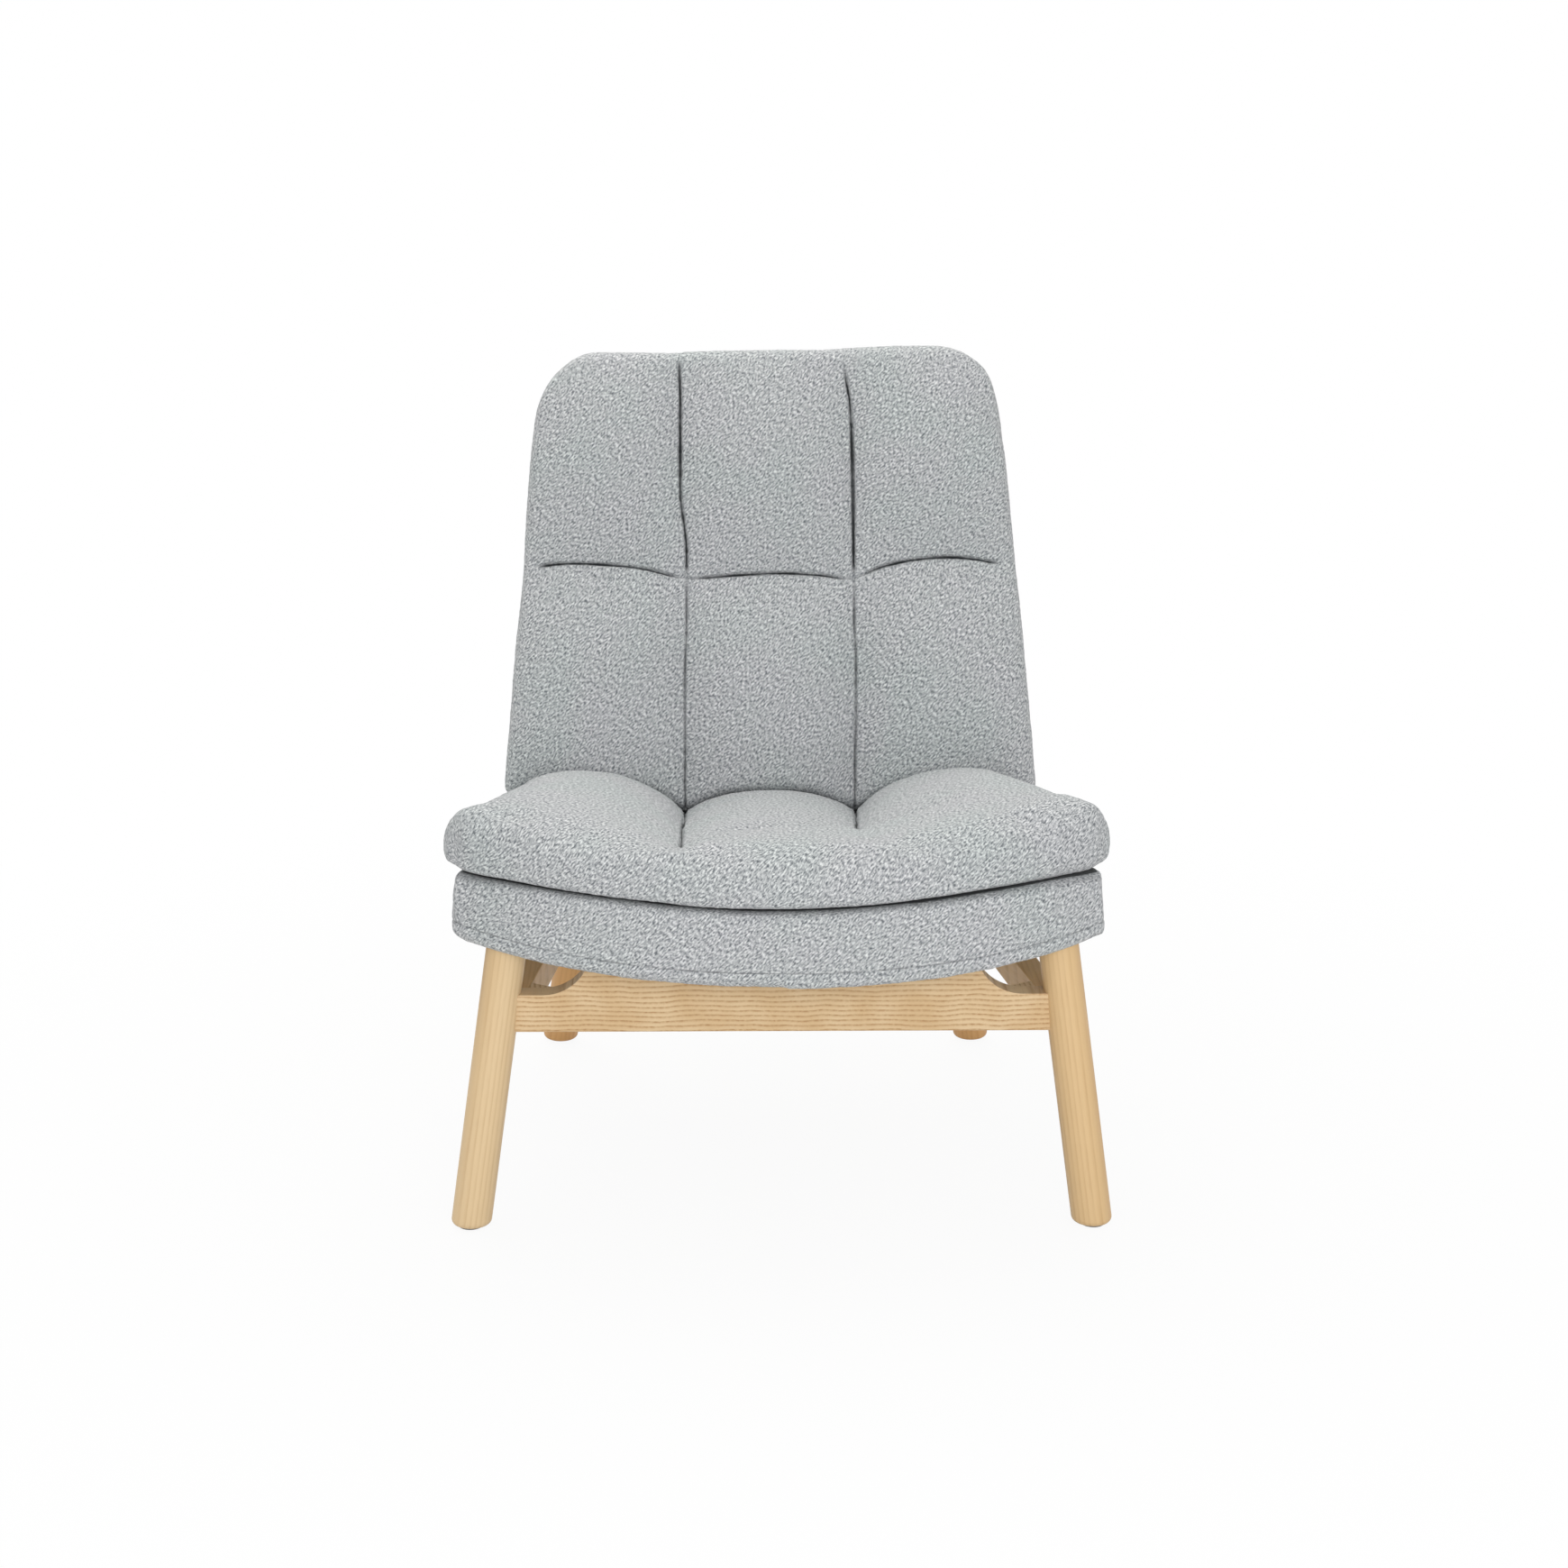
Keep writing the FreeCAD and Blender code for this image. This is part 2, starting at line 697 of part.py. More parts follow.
def bolt_axis(x, y, bottom):
    u = abs(x)
    rise = 2.0 * under_dish * u / under_width ** 2
    axis = Vector(-rise if x > 0 else rise, seat_slope, 1.0).normalize()
    return Vector(x, y, bottom), axis, (under_z(u, y) - bottom) * axis.z


# The pieces of one bolt and the holes for it, by what they belong to or go through
def bolt_set(x, y, bottom):
    start, axis, seat = bolt_axis(x, y, bottom)
    ply_top = seat + cover_thickness + ply_cover + ply_thickness
    under_washer = counterbore_depth - washer_thickness
    head = rod(start, axis, under_washer - bolt_head_height, under_washer, bolt_head_radius)
    bolt = head.fuse(rod(start, axis, under_washer, ply_top, bolt_radius))
    washer = rod(start, axis, under_washer, counterbore_depth, washer_radius)
    washer = washer.cut(rod(start, axis, 0.0, seat, bolt_radius + glue_fit))
    flange = rod(start, axis, ply_top, ply_top + tee_flange, tee_flange_radius)
    nut = flange.fuse(rod(start, axis, ply_top - tee_barrel_length, ply_top, tee_barrel_radius))
    nut = nut.cut(rod(start, axis, seat, ply_top + tee_flange + spare, bolt_radius + glue_fit))
    shank_hole = rod(start, axis, 0.0, ply_top + tee_flange, bolt_radius + glue_fit)
    counterbore = rod(start, axis, -counterbore_depth, counterbore_depth, washer_radius + glue_fit)
    flange_hole = rod(start, axis, ply_top, ply_top + tee_flange + glue_fit, tee_flange_radius + glue_fit)
    barrel_hole = rod(start, axis, ply_top - tee_barrel_length, ply_top + spare, tee_barrel_radius + glue_fit)
    return {
        "bolt": bolt,
        "washer": washer,
        "nut": nut,
        "rail_hole": shank_hole.fuse(counterbore),
        "inner_hole": shank_hole.fuse(barrel_hole).fuse(flange_hole),
        "cover_hole": shank_hole,
    }


# Glides and their nails

def glide_solid(point, side):
    centre = point(side, 0.0)
    disc = rod(centre, Vector(0, 0, 1), 0.0, glide_height, glide_radius)
    low_edges = [e for e in disc.Edges if e.BoundBox.ZMax < glide_edge]
    disc = soften(disc, low_edges, glide_edge)
    recess = rod(centre, Vector(0, 0, 1), 0.0, nail_recess, nail_head_radius + glue_fit)
    return disc.cut(recess.fuse(rod(centre, Vector(0, 0, 1), 0.0, glide_height, nail_radius + glue_fit)))


def glide_nail(point, side, extra):
    centre = point(side, 0.0)
    head = rod(centre, Vector(0, 0, 1), nail_recess - nail_head_height, nail_recess, nail_head_radius)
    return head.fuse(rod(centre, Vector(0, 0, 1), nail_recess, nail_length, nail_radius + extra))


# All pieces by name

def make_upholstery(bolts):
    pieces = {}
    shell_inner = shell_loft(cover_thickness)
    plywood = plywood_loft()
    pieces["shell_cover"] = shell_loft(0.0).cut(shell_inner).cut([b["cover_hole"] for b in bolts])
    pieces["shell_foam"] = shell_inner.cut(plywood).cut([b["inner_hole"] for b in bolts])
    pieces["shell_plywood"] = plywood.cut([b["inner_hole"] for b in bolts])
    for name, loft in (("seat_pad", seat_pad_loft), ("back_pad", back_pad_loft)):
        foam = loft(cover_thickness)
        pieces[name + "_foam"] = foam
        pieces[name + "_cover"] = loft(0.0).cut(foam)
    return pieces


def make_frame(bolts):
    pieces = {}
    envelope = shell_loft(-clearance)
    dowels = all_dowels()
    holes = []
    for dowel in dowels:
        axis = dowel.Faces[0].Surface.Axis
        base = dowel.CenterOfMass - axis * (dowel_length / 2.0)
        holes.append(rod(base, axis, -glue_fit, dowel_length + glue_fit, dowel_radius + glue_fit))
    front_blank = front_rail_blank()
    front = front_blank.cut(envelope)
    rear = rear_rail_blank().cut(envelope)
    corners = []
    front_face = front_rail_y() + rail_thickness / 2.0
    rear_face = rear_rail_y - rail_thickness / 2.0
    block_bottom = front_rail_ledge - block_height
    rear_block_bottom = side_rail_z(rear_rail_y) - side_rail_height / 2.0 - screw_inset
    screw_holes = []
    screws = []
    for side, hand in ((-1.0, "left"), (1.0, "right")):
        corners.append(("corner_block_front_" + hand, side, front_face, 1.0, block_bottom))
        corners.append(("corner_block_rear_" + hand, side, rear_face, -1.0, rear_block_bottom))
    for name, side, face_y, forward, bottom in corners:
        for screw, foot, back in block_screws(side, face_y, forward, bottom):
            screws.append(screw)
            screw_holes.append(screw_hole(foot, back))
    for side, hand in ((-1.0, "left"), (1.0, "right")):
        front_round = leg_round(front_leg_point, side, front_leg_top, leg_radius)
        rear_round = leg_round(rear_leg_point, side, rear_leg_top, leg_radius)
        front = front.cut(front_round)
        rail = side_rail_bar(side).cut(front_blank)
        rear = rear.cut(side_rail_wall(side))
        pieces["side_rail_" + hand] = rail.cut([front_round, rear_round] + holes + screw_holes)
        nail_front = glide_nail(front_leg_point, side, glue_fit)
        nail_rear = glide_nail(rear_leg_point, side, glue_fit)
        leg = leg_solid(front_leg_point, side, front_leg_top)
        pieces["front_leg_" + hand] = leg.cut([envelope, nail_front] + holes)
        leg = leg_solid(rear_leg_point, side, rear_leg_top)
        pieces["rear_leg_" + hand] = leg.cut([envelope, nail_rear] + holes)
        pieces["front_glide_" + hand] = glide_solid(front_leg_point, side)
        pieces["rear_glide_" + hand] = glide_solid(rear_leg_point, side)
    for name, side, face_y, forward, bottom in corners:
        block = corner_block(side, face_y, forward, bottom)
        point, top = (front_leg_point, front_leg_top) if forward > 0 else (rear_leg_point, rear_leg_top)
        near_leg = leg_round(point, side, top, leg_radius + clearance)
        pieces[name] = block.cut([near_leg] + screw_holes)
    rail_holes = [b["rail_hole"] for b in bolts]
    pieces["front_rail"] = front.cut(holes + screw_holes + rail_holes)
    pieces["rear_rail"] = rear.cut(holes + screw_holes + rail_holes)
    pieces["rail_dowels"] = Part.makeCompound(dowels)
    pieces["corner_block_screws"] = Part.makeCompound(screws)
    nails = []
    for side in (-1.0, 1.0):
        nails.append(glide_nail(front_leg_point, side, 0.0))
        nails.append(glide_nail(rear_leg_point, side, 0.0))
    pieces["glide_nails"] = Part.makeCompound(nails)
    return pieces


def make_chair():
    bolts = []
    for x in (-bolt_offset, bolt_offset):
        bolts.append(bolt_set(x, front_rail_y(), front_rail_bottom))
        bolts.append(bolt_set(x, rear_rail_y, rear_rail_bottom))
    pieces = make_frame(bolts)
    pieces.update(make_upholstery(bolts))
    pieces["shell_bolts"] = Part.makeCompound([b["bolt"] for b in bolts])
    pieces["shell_bolt_washers"] = Part.makeCompound([b["washer"] for b in bolts])
    pieces["shell_tee_nuts"] = Part.makeCompound([b["nut"] for b in bolts])
    return pieces


# The origin goes on the floor under the middle of the chair, which the two covers reach at front and rear
def middle_depth(pieces):
    covers = Part.makeCompound([pieces["seat_pad_cover"], pieces["back_pad_cover"], pieces["shell_cover"]])
    box = covers.optimalBoundingBox(False, False)
    return (box.YMin + box.YMax) / 2.0


os.makedirs("parts", exist_ok=True)
chair = make_chair()
shift = middle_depth(chair)
print("moved forward by", round(shift, 3))
for name, piece in sorted(chair.items()):
    piece.translate(Vector(0.0, -shift, 0.0))
    piece.exportStep("parts/" + name + ".step")
    box = piece.BoundBox
    size = (round(box.XLength, 1), round(box.YLength, 1), round(box.ZLength, 1))
    print(name, len(piece.Solids), "solids", size, "valid" if piece.isValid() else "not valid")
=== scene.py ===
from math import cos, radians, sin
import bpy
import numpy as np
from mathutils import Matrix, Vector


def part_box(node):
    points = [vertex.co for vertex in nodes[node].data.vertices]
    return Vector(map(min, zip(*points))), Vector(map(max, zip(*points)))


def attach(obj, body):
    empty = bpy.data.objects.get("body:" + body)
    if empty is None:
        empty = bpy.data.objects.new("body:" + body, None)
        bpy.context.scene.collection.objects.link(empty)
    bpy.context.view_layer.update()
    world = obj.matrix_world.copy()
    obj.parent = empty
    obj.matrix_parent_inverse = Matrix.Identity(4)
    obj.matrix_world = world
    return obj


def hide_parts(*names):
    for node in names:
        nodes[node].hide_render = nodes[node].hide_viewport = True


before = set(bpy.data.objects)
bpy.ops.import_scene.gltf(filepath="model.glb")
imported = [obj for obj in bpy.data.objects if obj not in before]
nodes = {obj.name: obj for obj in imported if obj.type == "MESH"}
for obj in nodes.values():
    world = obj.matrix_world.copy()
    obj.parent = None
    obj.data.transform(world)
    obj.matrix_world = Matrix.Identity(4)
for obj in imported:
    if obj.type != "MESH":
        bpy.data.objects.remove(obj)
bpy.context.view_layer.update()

scene = bpy.context.scene
print("loaded", len(nodes), "nodes")

# Where the chair's own lines lie, in metres in the part's frame
chair = {
    "depthShift": 0.356787,    # from the line between the front feet to the origin
    "lean": radians(21.5),
    "backFoot": (0.5337, 0.350),    # depth and height where the back starts
    "shellBack": 0.045,
    "front": (-0.030, 0.070, 0.312, 3),    # the shell's front edge: depth in the middle, fall back, at that half width
    "deck": (0.357, 0.029, 0.320),      # the shell's top: height in the middle, rise, at that half width
    "under": (0.276, 0.036, 0.315),     # and its underside
    "slope": 0.165,                     # down to the rear, of both
    "overhang": 0.011,                  # of the seat pad over the front of the shell
    "channel": (0.108, 0.012),          # of the long seams: half the distance between them, and its loss per metre back
    "backFace": (0.487, 0.3665),        # depth of the back's face at its foot, and its gain per metre up it
}


def onlySelect(piece):
    bpy.ops.object.select_all(action='DESELECT')
    piece.select_set(True)
    bpy.context.view_layer.objects.active = piece


def getPoints(piece):
    flat = np.empty(len(piece.data.vertices) * 3, dtype=np.float32)
    piece.data.vertices.foreach_get("co", flat)
    return flat.reshape(-1, 3).astype(float)


def setPoints(piece, points):
    piece.data.vertices.foreach_set("co", points.astype(np.float32).ravel())
    piece.data.update()


def getNormals(piece):
    flat = np.empty(len(piece.data.vertices) * 3, dtype=np.float32)
    piece.data.vertex_normals.foreach_get("vector", flat)
    return flat.reshape(-1, 3).astype(float)


def applyModifier(piece, modifier):
    onlySelect(piece)
    bpy.ops.object.modifier_apply(modifier=modifier.name)


# Materials

def newMaterial(name):
    material = bpy.data.materials.new(name)
    material.use_nodes = True
    tree = material.node_tree
    shader = tree.nodes["Principled BSDF"]
    return material, tree, shader


def addNode(tree, kind, settings=None, **inputs):
    node = tree.nodes.new(kind)
    for key, value in (settings or {}).items():
        setattr(node, key, value)
    for key, value in inputs.items():
        socket = node.inputs[key.replace("_", " ")]
        if isinstance(value, bpy.types.NodeSocket):
            tree.links.new(value, socket)
        else:
            socket.default_value = value
    return node


# Each stop is a place with a colour or a grey
def ramp(tree, fac, stops):
    node = addNode(tree, "ShaderNodeValToRGB", Fac=fac)
    elements = node.color_ramp.elements
    while len(elements) < len(stops):
        elements.new(0.5)
    for element, (place, colour) in zip(elements, stops):
        element.position = place
        element.color = (*colour, 1.0) if isinstance(colour, tuple) else (colour, colour, colour, 1.0)
    return node.outputs["Color"]


def mixColour(tree, fac, a, b, blend='MIX'):
    node = tree.nodes.new("ShaderNodeMix")
    node.data_type = 'RGBA'
    node.blend_type = blend
    for index, value in ((0, fac), (6, a), (7, b)):
        if isinstance(value, bpy.types.NodeSocket):
            tree.links.new(value, node.inputs[index])
        else:
            node.inputs[index].default_value = value
    return node.outputs[2]


def mathNode(tree, operation, a, b=None, clamp=False):
    node = tree.nodes.new("ShaderNodeMath")
    node.operation = operation
    node.use_clamp = clamp
    for index, value in ((0, a), (1, b)):
        if value is None:
            continue
        if isinstance(value, bpy.types.NodeSocket):
            tree.links.new(value, node.inputs[index])
        else:
            node.inputs[index].default_value = value
    return node.outputs[0]


cloth = {
    "dark": (0.120, 0.134, 0.146),
    "middle": (0.395, 0.409, 0.419),
    "light": (0.735, 0.748, 0.745),
    # The seam colour is painted shade, for the dark of seam grooves, the welt and the joint between pad and shell
    "seam": (0.030, 0.034, 0.036),
    "yarn": 600.0,         # flecks per metre
    "bias": radians(-45.0),
    "stretch": (0.42, 1.1, 1.0),
    "turnAside": 0.76,     # a face that points this much sideways shows the weave of the side
    "turnFlat": 0.62,
    "roughness": 0.95,
    "sheen": 0.12,
    "bump": 0.35,
}


# Lays the weave flat on each side of a piece, in metres
def layWeave(piece):
    mesh = piece.data
    normals = np.empty(len(mesh.polygons) * 3, dtype=np.float32)
    mesh.polygons.foreach_get("normal", normals)
    counts = np.empty(len(mesh.polygons), dtype=np.int32)
    mesh.polygons.foreach_get("loop_total", counts)
    corners = np.empty(len(mesh.loops), dtype=np.int32)
    mesh.loops.foreach_get("vertex_index", corners)
    facing = np.repeat(np.abs(normals.reshape(-1, 3)), counts, axis=0)
    places = getPoints(piece)[corners]
    aside = facing[:, 0] > cloth["turnAside"]
    flat = (facing[:, 2] > cloth["turnFlat"]) & ~aside
    across = np.where(aside, places[:, 1], places[:, 0])
    along = np.where(flat, places[:, 1], places[:, 2])
    laid = np.stack([across, along, np.zeros(len(across))], axis=1).astype(np.float32)
    mesh.attributes.new("weave", 'FLOAT_VECTOR', 'CORNER').data.foreach_set("vector", laid.ravel())


def heatheredCloth(name):
    material, tree, shader = newMaterial(name)
    place = addNode(tree, "ShaderNodeTexCoord").outputs["Object"]
    flat = addNode(tree, "ShaderNodeAttribute", {"attribute_name": "weave"}).outputs["Vector"]
    diagonal = addNode(tree, "ShaderNodeMapping", Vector=flat, Rotation=(0.0, 0.0, cloth["bias"])).outputs["Vector"]
    long = addNode(tree, "ShaderNodeMapping", Vector=diagonal, Scale=cloth["stretch"]).outputs["Vector"]
    yarn = cloth["yarn"]
    fleck = addNode(tree, "ShaderNodeTexNoise", Vector=long, Scale=yarn, Detail=2.0, Roughness=0.55).outputs["Fac"]
    nub = addNode(tree, "ShaderNodeTexVoronoi", {"feature": 'SMOOTH_F1'}, Vector=long, Scale=yarn * 0.8,
                  Smoothness=0.35)
    speckle = addNode(tree, "ShaderNodeTexNoise", Vector=flat, Scale=yarn * 0.55, Detail=1.0).outputs["Fac"]
    cloud = addNode(tree, "ShaderNodeTexNoise", Vector=place, Scale=11.0, Detail=2.0).outputs["Fac"]
    mixed = mathNode(tree, 'ADD', mathNode(tree, 'MULTIPLY', fleck, 0.70), mathNode(tree, 'MULTIPLY', speckle, 0.30))
    colour = ramp(tree, mixed, [(0.36, cloth["dark"]), (0.49, cloth["middle"]), (0.63, cloth["light"])])
    tone = ramp(tree, cloud, [(0.34, (0.975, 1.0, 0.990)), (0.50, 1.0), (0.66, (1.012, 0.999, 1.010))])
    colour = mixColour(tree, 1.0, colour, tone, 'MULTIPLY')
    # Painted shade: the seam attribute darkens the cloth towards the seam colour, with a ragged edge from the flecks
    seam = addNode(tree, "ShaderNodeAttribute", {"attribute_name": "seam"}).outputs["Fac"]
    uneven = mathNode(tree, 'MULTIPLY', mathNode(tree, 'SUBTRACT', fleck, 0.5), 1.1)
    edge = addNode(tree, "ShaderNodeMapRange", Value=mathNode(tree, 'ADD', seam, uneven), From_Min=0.30, From_Max=0.50)
    core = mathNode(tree, 'MULTIPLY', edge.outputs["Result"], mathNode(tree, 'MULTIPLY', seam, 0.80))
    creaseShade = mathNode(tree, 'ADD', mathNode(tree, 'MULTIPLY', seam, 0.45), core, clamp=True)
    colour = mixColour(tree, creaseShade, colour, (*cloth["seam"], 1.0))
    tree.links.new(colour, shader.inputs["Base Color"])
    shader.inputs["Roughness"].default_value = cloth["roughness"]
    shader.inputs["Sheen Weight"].default_value = cloth["sheen"]
    shader.inputs["Sheen Roughness"].default_value = 0.6
    shader.inputs["Specular IOR Level"].default_value = 0.12
    nubs = mathNode(tree, 'SUBTRACT', fleck, mathNode(tree, 'MULTIPLY', nub.outputs["Distance"], 0.8))
    bump = addNode(tree, "ShaderNodeBump", Height=nubs, Strength=cloth["bump"], Distance=0.0010)
    tree.links.new(bump.outputs["Normal"], shader.inputs["Normal"])
    return material


ash = {
    "light": (0.740, 0.545, 0.322),
    "middle": (0.675, 0.470, 0.255),
    "line": (0.400, 0.205, 0.075),
    "pore": (0.48, 0.31, 0.16),
    "ring": 58.0,          # how close the year rings lie
    "roughness": 0.48,
}


# Ash with its grain along the Z of the turned coordinates; grain is how strong it shows
def ashWood(name, turn, centre, grain=1.0, tint=(1.0, 1.0, 1.0)):
    material, tree, shader = newMaterial(name)
    place = addNode(tree, "ShaderNodeTexCoord").outputs["Object"]
    centred = addNode(tree, "ShaderNodeMapping", Vector=place, Location=centre).outputs["Vector"]
    turned = addNode(tree, "ShaderNodeMapping", Vector=centred, Rotation=turn).outputs["Vector"]
    long = addNode(tree, "ShaderNodeMapping", Vector=turned, Scale=(1.0, 1.0, 0.07)).outputs["Vector"]
    wander = addNode(tree, "ShaderNodeTexNoise", Vector=long, Scale=14.0, Detail=2.0)
    bent = addNode(tree, "ShaderNodeVectorMath", {"operation": 'MULTIPLY_ADD'})
    tree.links.new(wander.outputs["Color"], bent.inputs[0])
    bent.inputs[1].default_value = (0.010, 0.010, 0.0)
    tree.links.new(long, bent.inputs[2])
    bands = {"wave_type": 'BANDS', "bands_direction": 'X', "wave_profile": 'SAW'}
    wave = addNode(tree, "ShaderNodeTexWave", bands, Vector=bent.outputs["Vector"], Scale=ash["ring"],
                   Distortion=0.5, Detail=2.0, Detail_Scale=1.5)
    streak = addNode(tree, "ShaderNodeTexNoise", Vector=long, Scale=260.0, Detail=3.0, Roughness=0.6).outputs["Fac"]
    tone = addNode(tree, "ShaderNodeTexNoise", Vector=long, Scale=22.0, Detail=1.0)
    fine = addNode(tree, "ShaderNodeMapping", Vector=turned, Scale=(1.0, 1.0, 0.045))
    pores = addNode(tree, "ShaderNodeTexNoise", Vector=fine.outputs["Vector"], Scale=1500.0, Detail=1.0)
    base = ramp(tree, tone.outputs["Fac"], [(0.36, ash["middle"]), (0.62, ash["light"])])
    lines = ramp(tree, wave.outputs["Fac"], [(0.0, 0.0), (0.42, 0.06), (0.85, 0.95), (1.0, 0.20)])
    strength = mathNode(tree, 'MULTIPLY', lines, ramp(tree, streak, [(0.32, 0.32), (0.66, 1.0)]))
    strength = mathNode(tree, 'MULTIPLY', strength, grain)
    colour = mixColour(tree, strength, base, (*ash["line"], 1.0))
    dots = ramp(tree, pores.outputs["Fac"], [(0.30, 1.0), (0.40, 0.0)])
    colour = mixColour(tree, mathNode(tree, 'MULTIPLY', dots, 0.35 * grain), colour, (*ash["pore"], 1.0))
    colour = mixColour(tree, 1.0, colour, (*tint, 1.0), 'MULTIPLY')
    tree.links.new(colour, shader.inputs["Base Color"])
    rough = ramp(tree, streak, [(0.3, ash["roughness"] - 0.06), (0.7, ash["roughness"] + 0.08)])
    tree.links.new(rough, shader.inputs["Roughness"])
    shader.inputs["Specular IOR Level"].default_value = 0.35
    height = mathNode(tree, 'SUBTRACT', 1.0, mathNode(tree, 'ADD', dots, mathNode(tree, 'MULTIPLY', strength, 0.5)))
    bump = addNode(tree, "ShaderNodeBump", Height=height, Strength=0.12, Distance=0.0004)
    tree.links.new(bump.outputs["Normal"], shader.inputs["Normal"])
    return material


def plainSteel(name, colour, roughness):
    material, tree, shader = newMaterial(name)
    place = addNode(tree, "ShaderNodeTexCoord").outputs["Object"]
    noise = addNode(tree, "ShaderNodeTexNoise", Vector=place, Scale=600.0, Detail=3.0)
    rough = ramp(tree, noise.outputs["Fac"], [(0.3, roughness - 0.06), (0.7, roughness + 0.1)])
    tree.links.new(rough, shader.inputs["Roughness"])
    tint = ramp(tree, noise.outputs["Fac"], [(0.3, tuple(c * 0.9 for c in colour)), (0.7, colour)])
    tree.links.new(tint, shader.inputs["Base Color"])
    shader.inputs["Metallic"].default_value = 1.0
    return material


def mouldedPlastic(name, colour):
    material, tree, shader = newMaterial(name)
    place = addNode(tree, "ShaderNodeTexCoord").outputs["Object"]
    noise = addNode(tree, "ShaderNodeTexNoise", Vector=place, Scale=900.0, Detail=2.0)
    dim, bright = (tuple(c * share for c in colour) for share in (0.85, 1.15))
    tint = ramp(tree, noise.outputs["Fac"], [(0.3, dim), (0.7, bright)])
    tree.links.new(tint, shader.inputs["Base Color"])
    shader.inputs["Roughness"].default_value = 0.5
    bump = addNode(tree, "ShaderNodeBump", Height=noise.outputs["Fac"], Strength=0.15, Distance=0.0003)
    tree.links.new(bump.outputs["Normal"], shader.inputs["Normal"])
    return material


def giveMaterial(piece, material):
    piece.data.materials.clear()
    piece.data.materials.append(material)


# Soft pieces
soft = {
    "voxel": 0.0055,
    "pressure": 3.0,
    "most": 0.010,               # that a point may swell
    "heldNear": 0.006,           # seams hold the points this near
    "finerNear": (0.012, 0.006),    # and have finer faces this near, in two steps
    "lumps": (0.0016, 0.07),     # strength and size
    "nubs": (0.0010, 0.006),
}


# A piece of its own with the shape of a node
def copyNode(node, name):
    piece = bpy.data.objects.new(name, nodes[node].data.copy())
    scene.collection.objects.link(piece)
    piece.data.materials.clear()
    onlySelect(piece)
    bpy.ops.mesh.customdata_custom_splitnormals_clear()
    bpy.ops.object.mode_set(mode='EDIT')
    bpy.ops.mesh.select_all(action='SELECT')
    bpy.ops.mesh.remove_doubles(threshold=0.00002)
    bpy.ops.object.mode_set(mode='OBJECT')
    return piece


def evenMesh(piece):
    onlySelect(piece)
    piece.data.remesh_voxel_size = soft["voxel"]
    piece.data.remesh_voxel_adaptivity = 0.0
    bpy.ops.object.voxel_remesh()
    print(piece.name, "remeshed to", len(piece.data.vertices), "points")


# Air pressure fills the pad, held along its seams and where it lies on the shell
def swell(piece, held):
    before = getPoints(piece)
    group = piece.vertex_groups.new(name="held")
    group.add([int(i) for i in np.nonzero(held)[0]], 1.0, 'REPLACE')
    modifier = piece.modifiers.new("swell", 'CLOTH')
    settings = modifier.settings
    settings.quality = 4
    settings.mass = 0.3
    settings.tension_stiffness = 12.0
    settings.compression_stiffness = 12.0
    settings.shear_stiffness = 5.0
    settings.bending_stiffness = 1.5
    settings.use_pressure = True
    settings.uniform_pressure_force = soft["pressure"]
    settings.effector_weights.gravity = 0.0
    settings.vertex_group_mass = "held"
    modifier.collision_settings.use_collision = False
    for step in range(1, 21):
        scene.frame_set(step)
    applyModifier(piece, modifier)
    scene.frame_set(1)
    after = getPoints(piece)
    moved = after - before
    length = np.linalg.norm(moved, axis=1, keepdims=True)
    print(piece.name, "swelled by up to", round(float(length.max()) * 1000, 1), "mm")
    limit = np.minimum(1.0, soft["most"] / np.maximum(length, 1e-9))
    setPoints(piece, before + moved * limit)
    piece.vertex_groups.clear()


def subdivideOnce(piece):
    modifier = piece.modifiers.new("finer", 'SUBSURF')
    modifier.levels = 1
    modifier.render_levels = 1
    applyModifier(piece, modifier)


# Halves the faces whose points are marked, so that a narrow seam has enough of them
def refine(piece, marked):
    onlySelect(piece)
    bpy.ops.object.mode_set(mode='EDIT')
    bpy.ops.mesh.select_mode(type='VERT')
    bpy.ops.mesh.select_all(action='DESELECT')
    bpy.ops.object.mode_set(mode='OBJECT')
    piece.data.vertices.foreach_set("select", marked.astype(bool))
    bpy.ops.object.mode_set(mode='EDIT')
    bpy.ops.mesh.select_mode(type='FACE')
    bpy.ops.mesh.subdivide(number_cuts=1)
    bpy.ops.object.mode_set(mode='OBJECT')


# Distance from points to a line through pairs, and how far along it each point lies
def lineDistance(points, line):
    best = np.full(len(points), 1e9)
    along = np.zeros(len(points))
    run = 0.0
    for start, end in zip(line[:-1], line[1:]):
        a, b = np.array(start), np.array(end)
        step = b - a
        length = np.linalg.norm(step)
        t = np.clip(((points - a) @ step) / (length * length), 0.0, 1.0)
        away = np.linalg.norm(points - (a + t[:, None] * step), axis=1)
        nearer = away < best
        best[nearer] = away[nearer]
        along[nearer] = run + t[nearer] * length
        run += length
    return best, along


# Places on the back: across, up along it, and forward of the shell's face
def toBack(points):
    y = points[:, 1] + chair["depthShift"] - chair["backFoot"][0]
    z = points[:, 2] - chair["backFoot"][1]
    up = y * sin(chair["lean"]) + z * cos(chair["lean"])
    forward = z * sin(chair["lean"]) - y * cos(chair["lean"])
    return points[:, 0].copy(), up, forward


def fromBack(x, up, forward):
    y = chair["backFoot"][0] + up * sin(chair["lean"]) - forward * cos(chair["lean"]) - chair["depthShift"]
    z = chair["backFoot"][1] + up * cos(chair["lean"]) + forward * sin(chair["lean"])
    return np.stack([x, y, z], axis=1)


def softStep(value, low, high):
    t = np.clip((value - low) / (high - low), 0.0, 1.0)
    return t * t * (3.0 - 2.0 * t)


# Moves places across the chair from one set of knots to another, each knot a number per point
def slideAcross(x, old, new):
    out = np.where(x < old[0], x + new[0] - old[0], x + new[-1] - old[-1])
    for k in range(len(old) - 1):
        inside = (x >= old[k]) & (x <= old[k + 1])
        t = (x - old[k]) / (old[k + 1] - old[k])
        out = np.where(inside, new[k] + t * (new[k + 1] - new[k]), out)
    return out


